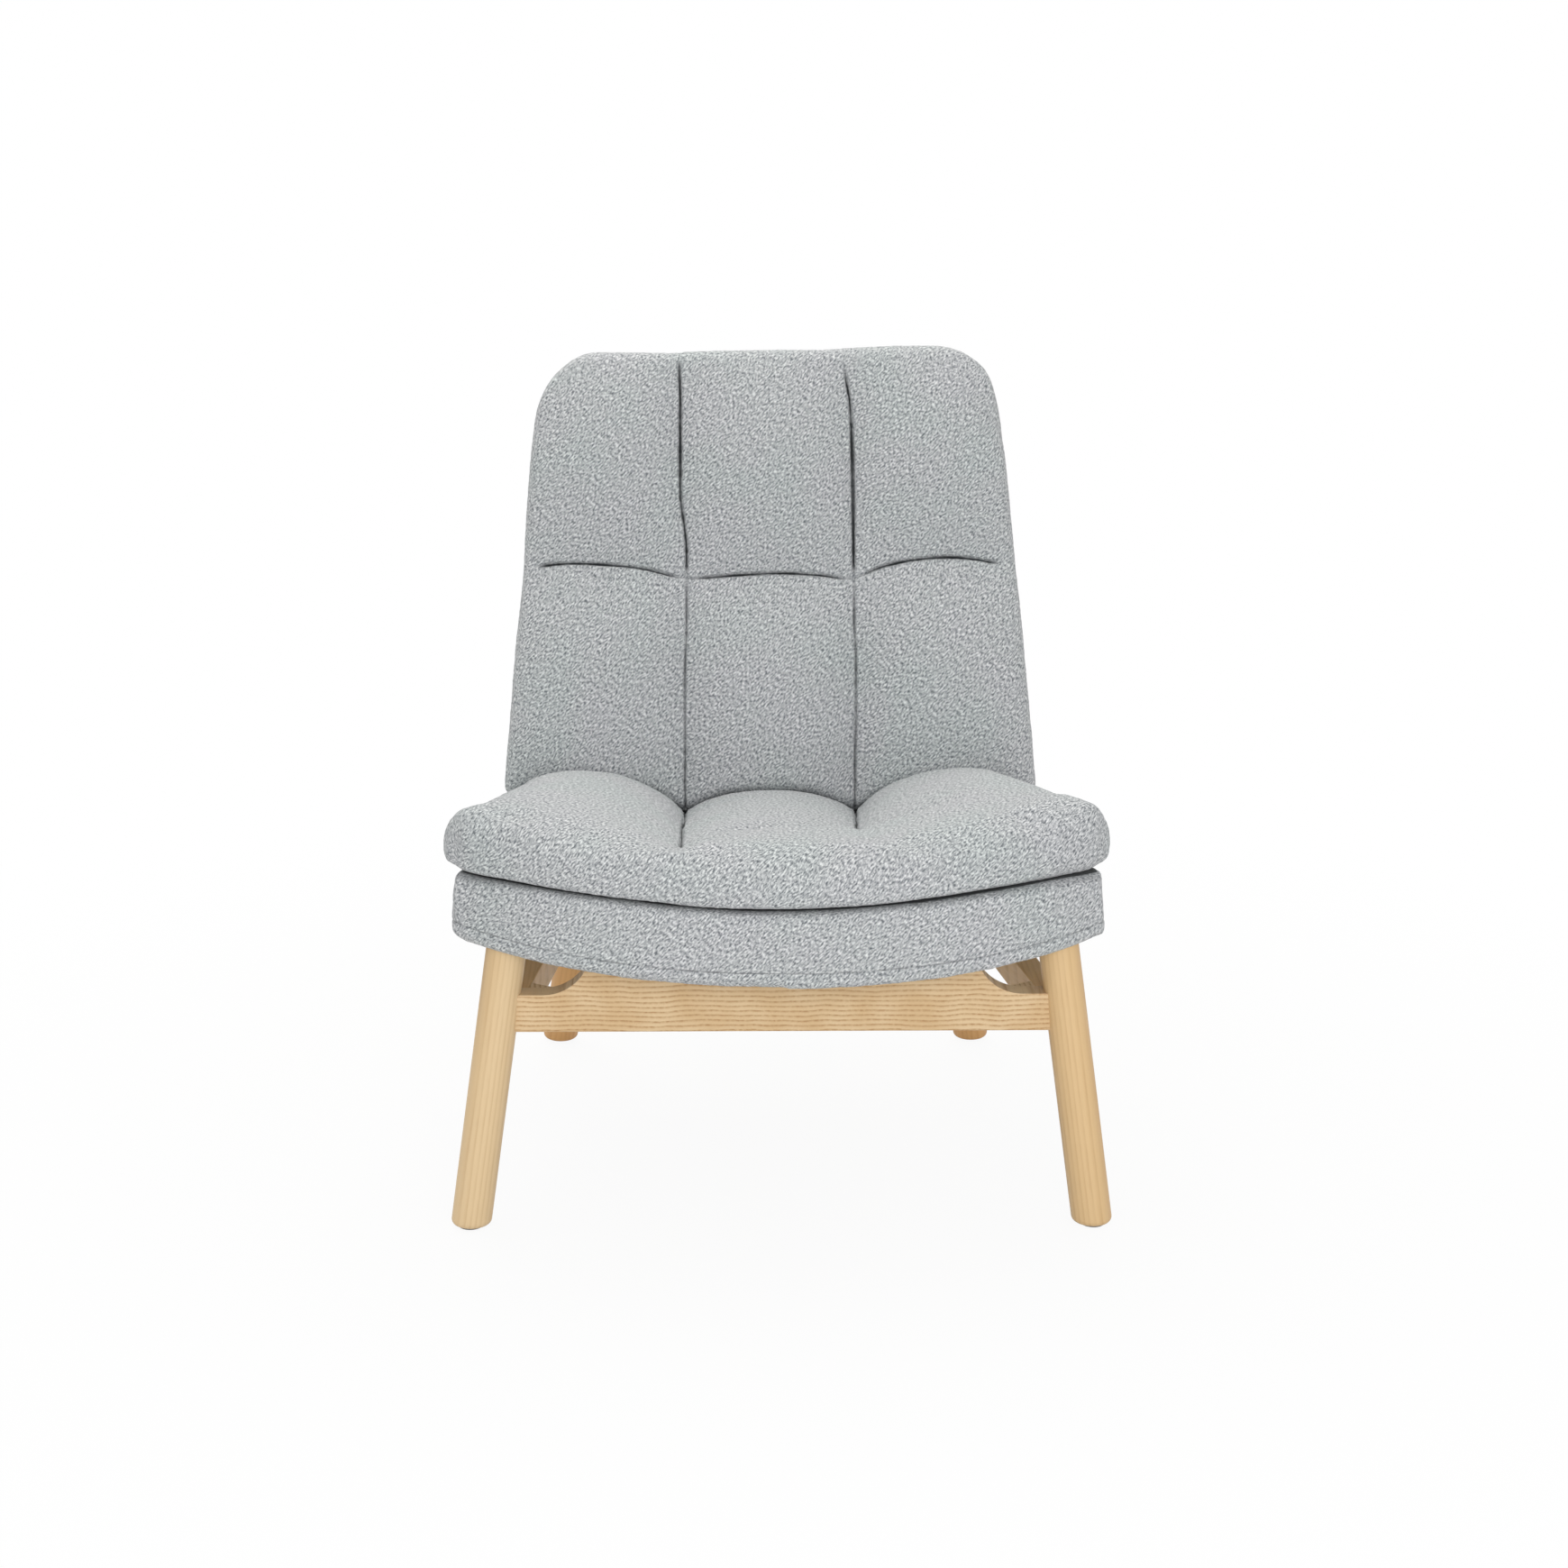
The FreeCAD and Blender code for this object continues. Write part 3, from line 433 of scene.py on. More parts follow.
# A table of knots drawn as a smooth curve, with a knot every step
def smoothTable(pairs, step=0.008):
    knots, values = np.array(pairs).T
    count = int(round((knots[-1] - knots[0]) / step)) * 4 + 1
    fine = np.linspace(knots[0], knots[-1], count)
    padded = np.pad(np.interp(fine, knots, values), 8, mode='reflect', reflect_type='odd')
    weights = np.hanning(19)[1:-1]
    return fine[::4], np.convolve(padded, weights / weights.sum(), mode='valid')[::4]


# A line that bends away from its middle, squared or with the power it names
def bowed(line, x):
    power = line[3] if len(line) > 3 else 2
    return line[0] + line[1] * np.abs(x / line[2]) ** power


joint = {
    "drop": [(-0.38, 0.0072), (-0.33, 0.0060), (-0.305, 0.0040), (-0.28, 0.0018), (-0.25, 0.0010), (-0.20, 0.0004),
             (-0.15, 0.0006), (-0.10, 0.0022), (-0.05, 0.0036), (0.0, 0.0036), (0.05, 0.0028), (0.10, 0.0015),
             (0.15, 0.0002), (0.20, -0.0010), (0.25, -0.0003), (0.28, 0.0010), (0.305, 0.0035), (0.33, 0.0062),
             (0.38, 0.0072)],    # how far it lies below the deck, across the chair
    "below": (-0.0011, 0.0003),    # the joint's painted shade line ends between these depths below the shell's top
    "above": 0.0012,    # and on the pad this far above its foot
}


# Squares off rounded edges: each side is the depth in from a face and its way out; spread is the rounding
def squareEdges(points, sides, spread, power, amount):
    shares = [np.clip(1.0 - depth / spread, 0.0, 1.3) for depth, _ in sides]
    plain = np.sqrt(sum(share ** 2 for share in shares))
    square = sum(share ** power for share in shares) ** (1.0 / power)
    gain = np.where(plain > 1e-6, plain / np.maximum(square, 1e-6) - 1.0, 0.0) * amount
    for share, (_, outward) in zip(shares, sides):
        points = points + (share * spread * gain)[:, None] * outward
    return points


# How far the joint between seat pad and shell lies below the deck, across the front of the chair
def jointDrop(x, y):
    return np.interp(x, *smoothTable(joint["drop"])) * (1.0 - softStep(y, 0.12, 0.34))


# How far the places lie below the joint
def belowJoint(points):
    y = points[:, 1] + chair["depthShift"]
    return bowed(chair["deck"], points[:, 0]) - chair["slope"] * y - jointDrop(points[:, 0], y) - points[:, 2]


# Draws the surface in along a seam and writes how near each point is to it as painted shade for its groove, scaled by
# ends and dark
def sewSeam(piece, distance, along, depth, ends, style, dark=1.0):
    points = getPoints(piece)
    normals = getNormals(piece)
    narrow = np.exp(-(distance / style["narrow"]) ** 2)
    wide = np.exp(-(distance / style["wide"]) ** 2)
    pull = 0.5 + 0.5 * np.cos(along * 2.0 * np.pi / style["stitch"] + 1.7 * np.sin(along * 31.0))
    gather = np.exp(-(distance / style["gatherReach"]) ** 2) * pull * (1.0 - narrow)
    sink = ends * (depth * narrow + style["wideDepth"] * wide + style["gather"] * gather)
    setPoints(piece, points - normals * sink[:, None])
    uneven = 0.88 + 0.12 * np.sin(along * 70.0 + 2.0 * np.sin(along * 23.0))
    paintCreaseShade(piece, ends * dark * uneven * np.exp(-(distance / style["shadow"]) ** 2))


# Paints shade into the seam attribute, keeping the darker of what is there and the new shade
def paintCreaseShade(piece, shade):
    name = "seam"
    if name not in piece.data.attributes:
        piece.data.attributes.new(name, 'FLOAT', 'POINT')
    values = np.empty(len(shade), dtype=np.float32)
    piece.data.attributes[name].data.foreach_get("value", values)
    values = np.clip(np.maximum(values, shade), 0.0, 1.0).astype(np.float32)
    piece.data.attributes[name].data.foreach_set("value", values)


seamStyle = {
    "narrow": 0.0017,       # half width of the stitched groove
    "wide": 0.0110,         # and of the hollow on both sides of it
    "wideDepth": 0.0012,
    "shadow": 0.0010,       # half width of its painted shade line
    "stitch": 0.012,        # from one gather to the next
    "gather": 0.0002,
    "gatherReach": 0.010,
}

backPad = {
    "edge": (0.3185, 0.0806),      # half width at the foot, and its loss per metre up the back
    # leftOut, rightOut and topLift say how far the outline lies out from the solid pad's, by height or across;
    # left, right and cross say where the seams run
    "leftOut": [(-0.04, 0.003), (0.06, 0.001), (0.15, 0.001), (0.23, -0.001), (0.30, 0.001), (0.38, 0.003), (0.45, 0.001),
                (0.50, -0.004)],
    "rightOut": [(-0.04, 0.005), (0.06, 0.004), (0.23, 0.004), (0.36, 0.004), (0.45, 0.003), (0.50, 0.008)],
    "footDrop": 0.010,      # of its lower corners
    "deepFoot": 0.007,      # its foot sinks into the crease
    "valleyDrop": 0.006,    # and reaches down between the puffs of the seat
    "footRound": 0.032,
    "left": [(-0.10, -0.1001), (0.06, -0.1000), (0.124, -0.0999), (0.167, -0.0976), (0.233, -0.0973), (0.271, -0.0972),
             (0.304, -0.1014), (0.320, -0.1035), (0.336, -0.1046), (0.407, -0.1045), (0.452, -0.1043), (0.52, -0.1063)],
    "right": [(-0.10, 0.1001), (0.011, 0.1013), (0.07, 0.1027), (0.14, 0.1033), (0.173, 0.1016), (0.211, 0.1020),
              (0.32, 0.1019), (0.385, 0.1015), (0.419, 0.1008), (0.452, 0.0990), (0.468, 0.0959), (0.52, 0.0885)],
    "cross": [(-0.32, 0.240), (-0.279, 0.2445), (-0.2557, 0.2485), (-0.230, 0.2490), (-0.191, 0.2475), (-0.166, 0.2457),
              (-0.140, 0.2420), (-0.1145, 0.2350), (-0.0973, 0.2320), (-0.0759, 0.2325), (-0.037, 0.2350), (0.001, 0.2370),
              (0.027, 0.2370), (0.0656, 0.2350), (0.0914, 0.2310), (0.1020, 0.2305), (0.1150, 0.2370), (0.130, 0.2440),
              (0.1557, 0.2500), (0.1813, 0.2539), (0.207, 0.2557), (0.2199, 0.2558), (0.2456, 0.2537), (0.2715, 0.2490),
              (0.32, 0.243)],
    "topLift": [(-0.30, -0.002), (-0.104, -0.002), (-0.096, 0.000), (0.084, 0.0015), (0.096, 0.004), (0.16, 0.006),
                (0.30, 0.005)],
    "crossEnd": (0.262, 0.282),    # where the cross seam fades out towards the sides
    "seamDepth": 0.0065,
    "leftTop": 0.497,       # where the long seams end
    "rightTop": 0.484,
}


# Half the distance between the long seams of the solid pads, at a depth
def channelAt(y):
    return chair["channel"][0] - chair["channel"][1] * y


# How far up the back the cross seam of the solid pad runs
def cadCross(x):
    seam = channelAt(0.57)
    share = np.where(np.abs(x) < seam, (x / seam + 1.0) / 2.0, (np.abs(x) - seam) / (0.300 - seam))
    arch = np.where(np.abs(x) < seam, 0.007, 0.020)
    return 0.235 + arch * (1.0 - np.abs(2.0 * np.clip(share, 0.0, 1.0) - 1.0) ** 2)


def makeBackPad():
    pad = copyNode("back_pad_foam", "backPad")
    x, up, forward = toBack(getPoints(pad))
    edge = backPad["edge"][0] - backPad["edge"][1] * up
    seam = channelAt(chair["backFace"][0] + chair["backFace"][1] * up)
    left = np.interp(up, *smoothTable(backPad["left"]))
    right = np.interp(up, *smoothTable(backPad["right"]))
    leftOut = np.interp(up, *smoothTable(backPad["leftOut"]))
    rightOut = np.interp(up, *smoothTable(backPad["rightOut"]))
    rise = (np.interp(x, *smoothTable(backPad["cross"])) - cadCross(x)) * np.exp(-((up - 0.24) / 0.07) ** 2)
    rise = rise + np.interp(x, *smoothTable(backPad["topLift"])) * softStep(up, 0.36, 0.50)
    rise = rise - backPad["footDrop"] * softStep(np.abs(x), 0.12, 0.30) * softStep(-up, -0.06, 0.01)
    valley = np.exp(-((np.abs(x) - 0.100) / 0.028) ** 2)
    inner = (1.0 - softStep(np.abs(x), 0.20, 0.27)) * softStep(-up, -0.09, -0.01)
    rise = rise - (backPad["deepFoot"] + backPad["valleyDrop"] * valley) * inner
    x = slideAcross(x, [-edge, -seam, seam, edge], [-edge - leftOut, left, right, edge + rightOut])
    up = up + rise
    places = np.linspace(-0.30, 0.30, 31)
    foot = np.array([up[np.abs(x - place) < 0.012].min() for place in places])
    face = np.array([forward[(np.abs(x - place) < 0.012) & (up < 0.06)].max() for place in places])
    sides = [(up - np.interp(x, places, foot), np.array([0.0, -1.0, 0.0])),
             (np.interp(x, places, face) - forward, np.array([0.0, 0.0, 1.0]))]
    amount = 1.0 - softStep(np.abs(x), 0.24, 0.30)
    squared = squareEdges(np.stack([x, up, forward], axis=1), sides, backPad["footRound"], 4.0, amount)
    setPoints(pad, fromBack(*squared.T))
    evenMesh(pad)
    points = getPoints(pad)
    normals = getNormals(pad)
    x, up, forward = toBack(points)
    facing = -normals[:, 1] * cos(chair["lean"]) + normals[:, 2] * sin(chair["lean"])
    flat = np.stack([x, up], axis=1)
    lines = seamLines(backPad, ("left", "right", "cross"))
    near = np.zeros(len(x), dtype=bool)
    for line in lines:
        distance, _ = lineDistance(flat, line)
        near |= (distance < soft["heldNear"]) & (facing > 0.1)
    held = near | (facing < -0.3)
    swell(pad, held)
    subdivideOnce(pad)
    for reach in soft["finerNear"]:
        x, up, forward = toBack(getPoints(pad))
        flat = np.stack([x, up], axis=1)
        nearest = np.min([lineDistance(flat, line)[0] for line in lines], axis=0)
        refine(pad, (nearest < reach) & (forward > 0.02))
    points = getPoints(pad)
    normals = getNormals(pad)
    x, up, forward = toBack(points)
    facing = -normals[:, 1] * cos(chair["lean"]) + normals[:, 2] * sin(chair["lean"])
    flat = np.stack([x, up], axis=1)
    front = softStep(facing, -0.15, 0.25)
    crossing = [lineDistance(flat, line)[0] for line in lines]
    # Each seam is sunk and given painted shade, both weaker near the crossings and on the long seams below the cross
    # seam
    for index, (line, tops) in enumerate(zip(lines, (backPad["leftTop"], backPad["rightTop"], None))):
        distance, along = lineDistance(flat, line)
        if tops is None:
            near = np.exp(-(np.minimum(crossing[0], crossing[1]) / 0.016) ** 2)
            ends = front * (1.0 - softStep(np.abs(x), *backPad["crossEnd"])) * (1.0 - 0.7 * near)
            style, dark = seamStyle, 1.0 - 0.5 * near
        else:
            below = 1.0 - softStep(up, 0.19, 0.245)
            near = np.exp(-(crossing[2] / (0.012 + (0.012 if index else 0.0) * below)) ** 2)
            ends = front * (1.0 - softStep(up, tops - 0.012, tops + 0.010) * 0.92)
            ends = ends * (1.0 - 0.35 * below) * (1.0 - 0.6 * near)
            style = dict(seamStyle, shadow=seamStyle["shadow"] - 0.0001 * below,
                         narrow=seamStyle["narrow"] - 0.0003 * below, wideDepth=seamStyle["wideDepth"] - 0.0008 * below)
            dark = 1.0 - 0.5 * near
        sewSeam(pad, distance, along, backPad["seamDepth"], ends, style, dark)
    finishSoft(pad)
    return pad


# The seams of a pad as lines of places, the cross one given across the chair and the others along it
def seamLines(pad, names):
    lines = []
    for name in names:
        along, aside = smoothTable(pad[name])
        lines.append(np.stack([along, aside] if name == "cross" else [aside, along], axis=1))
    return lines


# Slight lumps of the filling and the nubby outline of the cloth
def finishSoft(piece):
    for name in ("lumps", "nubs"):
        strength, size = soft[name]
        texture = bpy.data.textures.new(piece.name + name, 'CLOUDS')
        texture.noise_scale = size
        texture.noise_depth = 1
        modifier = piece.modifiers.new(name, 'DISPLACE')
        modifier.texture = texture
        modifier.texture_coords = 'LOCAL'
        modifier.strength = strength
        modifier.mid_level = 0.5
        applyModifier(piece, modifier)
    layWeave(piece)
    onlySelect(piece)
    bpy.ops.object.shade_smooth()


seatPad = {
    "edge": (0.354, 0.085),    # half width at the front, and its loss per metre back
    "leftOut": 0.006,
    "rightOut": -0.004,
    "endLift": (0.0058, 0.0092),    # of the rounded ends, left and right
    "left": [(-0.05, -0.106), (0.04, -0.1054), (0.15, -0.1035), (0.25, -0.1035), (0.35, -0.1004), (0.52, -0.1000)],
    "right": [(-0.05, 0.098), (0.05, 0.088), (0.177, 0.0852), (0.22, 0.0861), (0.30, 0.0902), (0.48, 0.1010),
              (0.52, 0.1015)],
    "leftEnd": 0.050,       # how far forward the left seam runs
    "rightEnd": 0.172,
    "seamDepth": 0.006,
    "round": 0.021,         # of the edges along its foot
}


def makeSeatPad():
    pad = copyNode("seat_pad_foam", "seatPad")
    points = getPoints(pad)
    y = points[:, 1] + chair["depthShift"]
    edge = seatPad["edge"][0] - seatPad["edge"][1] * y
    seam = channelAt(y)
    left = np.interp(y, *smoothTable(seatPad["left"]))
    right = np.interp(y, *smoothTable(seatPad["right"]))
    above = points[:, 2] - bowed(chair["deck"], points[:, 0]) + chair["slope"] * y
    knots = [-edge - seatPad["leftOut"], left, right, edge + seatPad["rightOut"]]
    points[:, 0] = slideAcross(points[:, 0], [-edge, -seam, seam, edge], knots)
    deck = bowed(chair["deck"], points[:, 0]) - chair["slope"] * y
    points[:, 2] += (deck + above - points[:, 2]) * (1.0 - np.clip(above / 0.040, 0.0, 1.0))
    x, z = points[:, 0], points[:, 2]
    inward = np.where(x < 0.0, x + edge + seatPad["leftOut"], edge + seatPad["rightOut"] - x)
    high = np.clip((z - deck) / 0.055, 0.0, 1.0)
    lift = np.where(x < 0.0, *seatPad["endLift"]) * (1.0 - softStep(inward, 0.020, 0.250))
    lift = lift * (1.0 - 0.3 * softStep(y, 0.25, 0.42))
    points[:, 2] += high * lift - (1.0 - high) * jointDrop(x, y)
    side = np.where(x < 0.0, -1.0, 1.0)[:, None] * np.array([1.0, 0.0, 0.0])
    front = y - bowed(chair["front"], x) + chair["overhang"]
    sides = [(front, np.array([0.0, -1.0, 0.0])), (inward, side), (z - deck, np.array([0.0, 0.0, -1.0]))]
    points = squareEdges(points, sides, seatPad["round"], 4.0, 1.0 - softStep(z - deck, 0.018, 0.026))
    setPoints(pad, points)
    evenMesh(pad)
    lines = seamLines(seatPad, ("left", "right"))
    points = getPoints(pad)
    normals = getNormals(pad)
    flat = np.stack([points[:, 0], points[:, 1] + chair["depthShift"]], axis=1)
    near = np.zeros(len(points), dtype=bool)
    for line, end in zip(lines, (seatPad["leftEnd"], seatPad["rightEnd"])):
        distance, _ = lineDistance(flat, line)
        near |= (distance < soft["heldNear"]) & (normals[:, 2] > 0.1) & (flat[:, 1] > end)
    held = near | (normals[:, 2] < -0.35)
    swell(pad, held)
    subdivideOnce(pad)
    for reach in soft["finerNear"]:
        points = getPoints(pad)
        flat = np.stack([points[:, 0], points[:, 1] + chair["depthShift"]], axis=1)
        nearest = np.min([lineDistance(flat, line)[0] for line in lines], axis=0)
        refine(pad, (nearest < reach) & (flat[:, 1] > 0.02) & (getNormals(pad)[:, 2] > 0.0))
    points = getPoints(pad)
    normals = getNormals(pad)
    flat = np.stack([points[:, 0], points[:, 1] + chair["depthShift"]], axis=1)
    upward = softStep(normals[:, 2], -0.05, 0.3)
    # Each long seam is sunk and given painted shade, from its end towards the rear
    for line, end in zip(lines, (seatPad["leftEnd"], seatPad["rightEnd"])):
        distance, along = lineDistance(flat, line)
        style = dict(seamStyle, shadow=0.0009, narrow=0.0018)
        ends = upward * softStep(flat[:, 1], end - 0.012, end + 0.015)
        sewSeam(pad, distance, along, seatPad["seamDepth"], ends, style, 0.9)
    points = getPoints(pad)
    # Painted shade along the pad's foot, where it meets the shell
    paintCreaseShade(pad, 1.0 - softStep(-belowJoint(points), 0.0, joint["above"]))
    finishSoft(pad)
    return pad


shellLayer = {
    "shift": -0.004,       # the seat's part stands this far to the left
    "edge": (0.346, 0.115),
    "forward": 0.0095,     # its front stands this far out, up to the pad's
    "meet": 0.0025,        # its top reaches this far up behind the joint
    "flare": 0.006,        # of its ends, from top to bottom
    "seamAt": 0.014,       # the welt, in from the underside and from the rear
    "seamDepth": 0.0010,
    "round": 0.020,        # of its edges round the front
}


# Distance in from the shell's underside or its rear, whichever is nearer
def shellDepth(points):
    x, up, forward = toBack(points)
    y = points[:, 1] + chair["depthShift"]
    under = bowed(chair["under"], x) - chair["slope"] * y
    low = (points[:, 2] - under) * 0.986
    rear = forward + chair["shellBack"]
    spread = 0.03
    lesser = np.minimum(low, rear)
    blend = np.clip(0.5 - np.abs(low - rear) / (2.0 * spread), 0.0, 0.5)
    return lesser - spread * blend * blend


def makeShellLayer():
    layer = copyNode("shell_cover", "shellLayer")
    points = getPoints(layer)
    points[:, 0] += shellLayer["shift"] * softStep(-points[:, 2], -0.50, -0.40)
    x, z = points[:, 0], points[:, 2]
    y = points[:, 1] + chair["depthShift"]
    deck = bowed(chair["deck"], x) - chair["slope"] * y
    under = bowed(chair["under"], x) - chair["slope"] * y
    front = y - bowed(chair["front"], x)
    edge = shellLayer["edge"][0] - shellLayer["edge"][1] * y + shellLayer["shift"] * np.sign(x)
    side = np.where(x < 0.0, -1.0, 1.0)[:, None] * np.array([1.0, 0.0, 0.0])
    down = np.array([0.0, 0.0, -1.0])
    forward = np.array([0.0, -1.0, 0.0])
    seatPart = 1.0 - softStep(y, 0.20, 0.36)
    lower = z - under < (deck - under) / 2.0
    upright = (np.where(lower, z - under, deck - z), np.where(lower[:, None], down, -down))
    sides = [(front, forward), (edge - np.abs(x), side), upright]
    points = squareEdges(points, sides, shellLayer["round"], 5.0, seatPart * np.where(lower & (x < 0.0), 0.35, 1.0))
    share = np.clip((deck - z) / (deck - under), 0.0, 1.0)
    points[:, 2] -= (1.0 - share) * (jointDrop(x, y) - shellLayer["meet"]) * seatPart
    points[:, 1] -= shellLayer["forward"] * (1.0 - softStep(front, 0.0, 0.08))
    points += side * (shellLayer["flare"] * (share - 0.4) * softStep(np.abs(x), 0.20, 0.32) * seatPart)[:, None]
    setPoints(layer, points)
    evenMesh(layer)
    subdivideOnce(layer)
    refine(layer, np.abs(shellDepth(getPoints(layer)) - shellLayer["seamAt"]) < 0.006)
    for reach in (0.012, 0.007):
        points = getPoints(layer)
        ahead = points[:, 1] + chair["depthShift"] < 0.36
        refine(layer, (np.abs(belowJoint(points)) < reach) & ahead & (getNormals(layer)[:, 2] < 0.9))
    points = getPoints(layer)
    distance = np.abs(shellDepth(points) - shellLayer["seamAt"])
    style = dict(seamStyle, wideDepth=0.0, shadow=0.0009, gather=0.0001, narrow=0.0018)
    along = points[:, 0] + points[:, 1] + points[:, 2]
    # The welt is sunk and given a fainter painted shade
    sewSeam(layer, distance, along, shellLayer["seamDepth"], np.ones(len(points)), style, 0.62)
    points = getPoints(layer)
    y = points[:, 1] + chair["depthShift"]
    # Painted shade along the shell's top, in the joint under the seat pad, fading towards the rear
    paintCreaseShade(layer, (1.0 - softStep(belowJoint(points), *joint["below"])) * (1.0 - softStep(y, 0.36, 0.40)))
    finishSoft(layer)
    return layer


padMaterial = heatheredCloth("padCloth")
shellMaterial = heatheredCloth("shellCloth")

shell = makeShellLayer()
giveMaterial(shell, shellMaterial)
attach(shell, "root")
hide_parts("shell_cover", "shell_foam")
print("shell layer made")

seat = makeSeatPad()
giveMaterial(seat, padMaterial)
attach(seat, "root")
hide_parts("seat_pad_cover", "seat_pad_foam")
print("seat pad made")

back = makeBackPad()
giveMaterial(back, padMaterial)
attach(back, "root")
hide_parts("back_pad_cover", "back_pad_foam")
print("back pad made")

# Wood
legs = {    # splay, rake, side and tint
    "front_leg_left": (radians(7.9), radians(6.0), -1.0, (0.99, 1.00, 0.99)),
    "front_leg_right": (radians(7.9), radians(6.0), 1.0, (0.95, 0.90, 0.80)),
    # The rear legs' darker, warmer tint is painted shade, for their place under the seat
    "rear_leg_left": (radians(8.7), radians(-16.0), -1.0, (0.90, 0.70, 0.48)),
    "rear_leg_right": (radians(8.7), radians(-16.0), 1.0, (0.90, 0.70, 0.48)),
}
for name, (splay, rake, side, tint) in legs.items():
    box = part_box(name)
    middle = [-(a + b) / 2.0 for a, b in zip(*box)]
    giveMaterial(nodes[name], ashWood("ash_" + name, (rake, side * splay, 0.4 * side), middle, 0.3, tint))
rails = {    # turn, place, grain and tint
    "front_rail": ((radians(90.0), 0.0, radians(90.0)), (0.11, 0.31, -0.232), 1.0, (1.0, 1.01, 1.02)),
    "rear_rail": ((radians(90.0), 0.0, radians(90.0)), (0.2, -0.1, -0.2), 1.0, (0.96, 0.92, 0.85)),
    # The side rails' darker, warmer tint is painted shade, for their place in the seat's shadow
    "side_rail_left": ((radians(90.0), 0.0, 0.0), (0.2, 0.0, -0.2), 0.4, (0.98, 0.88, 0.72)),
    "side_rail_right": ((radians(90.0), 0.0, 0.0), (0.2, 0.0, -0.2), 0.4, (0.98, 0.88, 0.72)),
}
for name, (turn, place, grain, tint) in rails.items():
    giveMaterial(nodes[name], ashWood("ash_" + name, turn, place, grain, tint))
innerWood = ("corner_block_front_left", "corner_block_front_right", "corner_block_rear_left",
             "corner_block_rear_right", "rail_dowels", "shell_plywood")
for name in innerWood:
    giveMaterial(nodes[name], ashWood("wood_" + name, (0.0, 0.0, 0.0), (0.05, 0.02, 0.0)))
steel = plainSteel("zincSteel", (0.62, 0.62, 0.60), 0.38)
for name in ("corner_block_screws", "shell_bolts", "shell_bolt_washers", "shell_tee_nuts", "glide_nails"):
    giveMaterial(nodes[name], steel)
plastic = mouldedPlastic("glidePlastic", (0.055, 0.050, 0.046))
for name in ("front_glide_left", "front_glide_right", "rear_glide_left", "rear_glide_right"):
    giveMaterial(nodes[name], plastic)
print("frame finished")

# Studio
studio = {
    # place, size, power and colour of the lamps
    "above": ((-0.3, 1.15, 2.8), 2.4, 47.0, (1.0, 0.985, 0.94)),
    "front": ((0.3, -3.2, 1.2), 1.6, 36.0, (0.985, 0.995, 1.0)),
    "target": (0.0, 0.0, 0.4),
    "world": 0.70,
    "floorShow": 0.93,     # how white the floor shows close to the chair; further out it is plain white
    "floorFade": (0.45, 1.5),
    "floor": (0.74, 0.74, 0.74, 1.0),
}


def aimLight(name, place, size, power, colour):
    light = bpy.data.lights.new(name, 'AREA')
    light.color = colour
    light.shape = 'SQUARE'
    light.size = size
    light.energy = power
    lamp = bpy.data.objects.new(name, light)
    scene.collection.objects.link(lamp)
    lamp.location = place
    away = np.array(place) - np.array(studio["target"])
    flat = np.hypot(away[0], away[1])
    lamp.rotation_euler = (np.arctan2(flat, away[2]), 0.0, np.arctan2(away[0], -away[1]))
    lamp.visible_camera = False


# 1 for the rays that show a surface instead of lighting by it
def seenRays(tree):
    rays = tree.nodes.new("ShaderNodeLightPath")
    seen = mathNode(tree, 'MAXIMUM', rays.outputs["Is Camera Ray"], rays.outputs["Is Transmission Ray"])
    return mathNode(tree, 'MAXIMUM', seen, rays.outputs["Is Glossy Ray"])


# Shows the second surface where the share is 1 and the first where it is 0
def mixSurfaces(tree, share, first, second, output):
    mix = tree.nodes.new("ShaderNodeMixShader")
    for index, socket in enumerate((share, first, second)):
        tree.links.new(socket, mix.inputs[index])
    tree.links.new(mix.outputs[0], output.inputs["Surface"])


for name in ("above", "front"):
    aimLight(name, *studio[name])

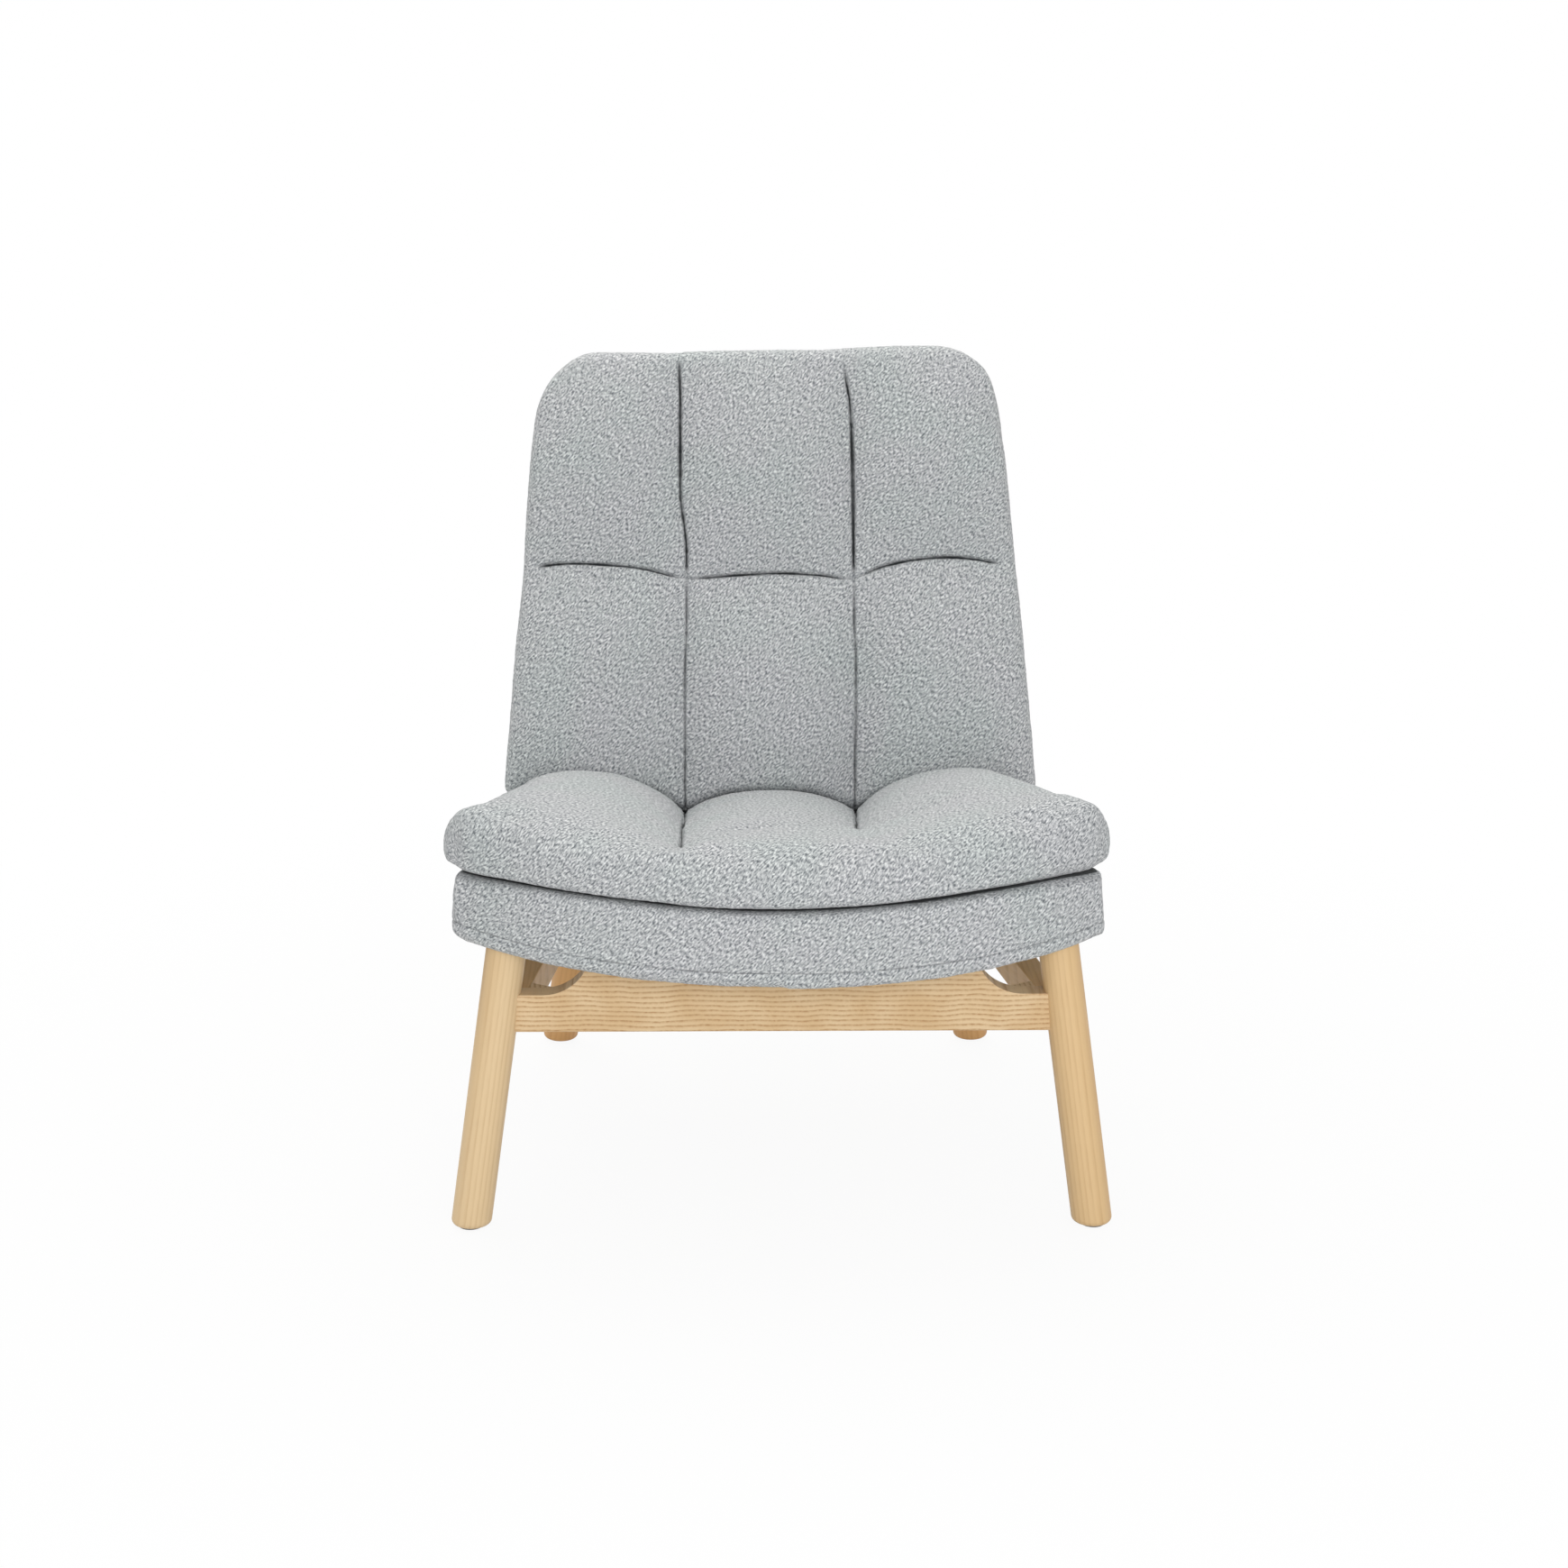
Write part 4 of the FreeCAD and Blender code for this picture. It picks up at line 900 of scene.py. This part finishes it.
world = bpy.data.worlds.new("studioWorld")
scene.world = world
world.use_nodes = True
tree = world.node_tree
tree.nodes.clear()
seen = seenRays(tree)
lit = addNode(tree, "ShaderNodeBackground", Color=(1.0, 1.0, 1.0, 1.0), Strength=studio["world"])
shown = addNode(tree, "ShaderNodeBackground", Color=(1.0, 1.0, 1.0, 1.0), Strength=1.0)
mixSurfaces(tree, seen, lit.outputs[0], shown.outputs[0], tree.nodes.new("ShaderNodeOutputWorld"))

bpy.ops.object.select_all(action='DESELECT')
bpy.ops.mesh.primitive_plane_add(size=120.0, location=(0.0, 0.0, 0.0))
floor = bpy.context.object
floor.name = "floor"
material, tree, shader = newMaterial("floorPaint")
shader.inputs["Base Color"].default_value = studio["floor"]
shader.inputs["Roughness"].default_value = 0.9
shader.inputs["Specular IOR Level"].default_value = 0.1
seen = seenRays(tree)
place = addNode(tree, "ShaderNodeTexCoord").outputs["Object"]
radius = addNode(tree, "ShaderNodeVectorMath", {"operation": 'LENGTH'}, Vector=place).outputs["Value"]
near, far = studio["floorFade"]
fade = addNode(tree, "ShaderNodeMapRange", {"interpolation_type": 'SMOOTHSTEP'}, Value=radius,
               From_Min=near, From_Max=far, To_Min=studio["floorShow"], To_Max=1.0)
share = mathNode(tree, 'MULTIPLY', seen, fade.outputs["Result"])
white = addNode(tree, "ShaderNodeEmission", Color=(1.0, 1.0, 1.0, 1.0), Strength=1.0)
mixSurfaces(tree, share, shader.outputs[0], white.outputs[0], tree.nodes["Material Output"])
giveMaterial(floor, material)

view = {
    "lens": 62.07,
    "sensor": 36.0,
    "shift": 83.0 / 1740.0,    # the chair stands a little left of the middle
    "place": (-0.10373, -2.95664, 1.180),
    "turn": (radians(75.0), 0.0, radians(-0.6)),
}
cameraData = bpy.data.cameras.new("camera")
cameraData.lens = view["lens"]
cameraData.sensor_width = view["sensor"]
cameraData.shift_x = view["shift"]
camera = bpy.data.objects.new("camera", cameraData)
scene.collection.objects.link(camera)
camera.location = view["place"]
camera.rotation_euler = view["turn"]
scene.camera = camera
scene.view_settings.view_transform = 'Standard'
print("studio ready")
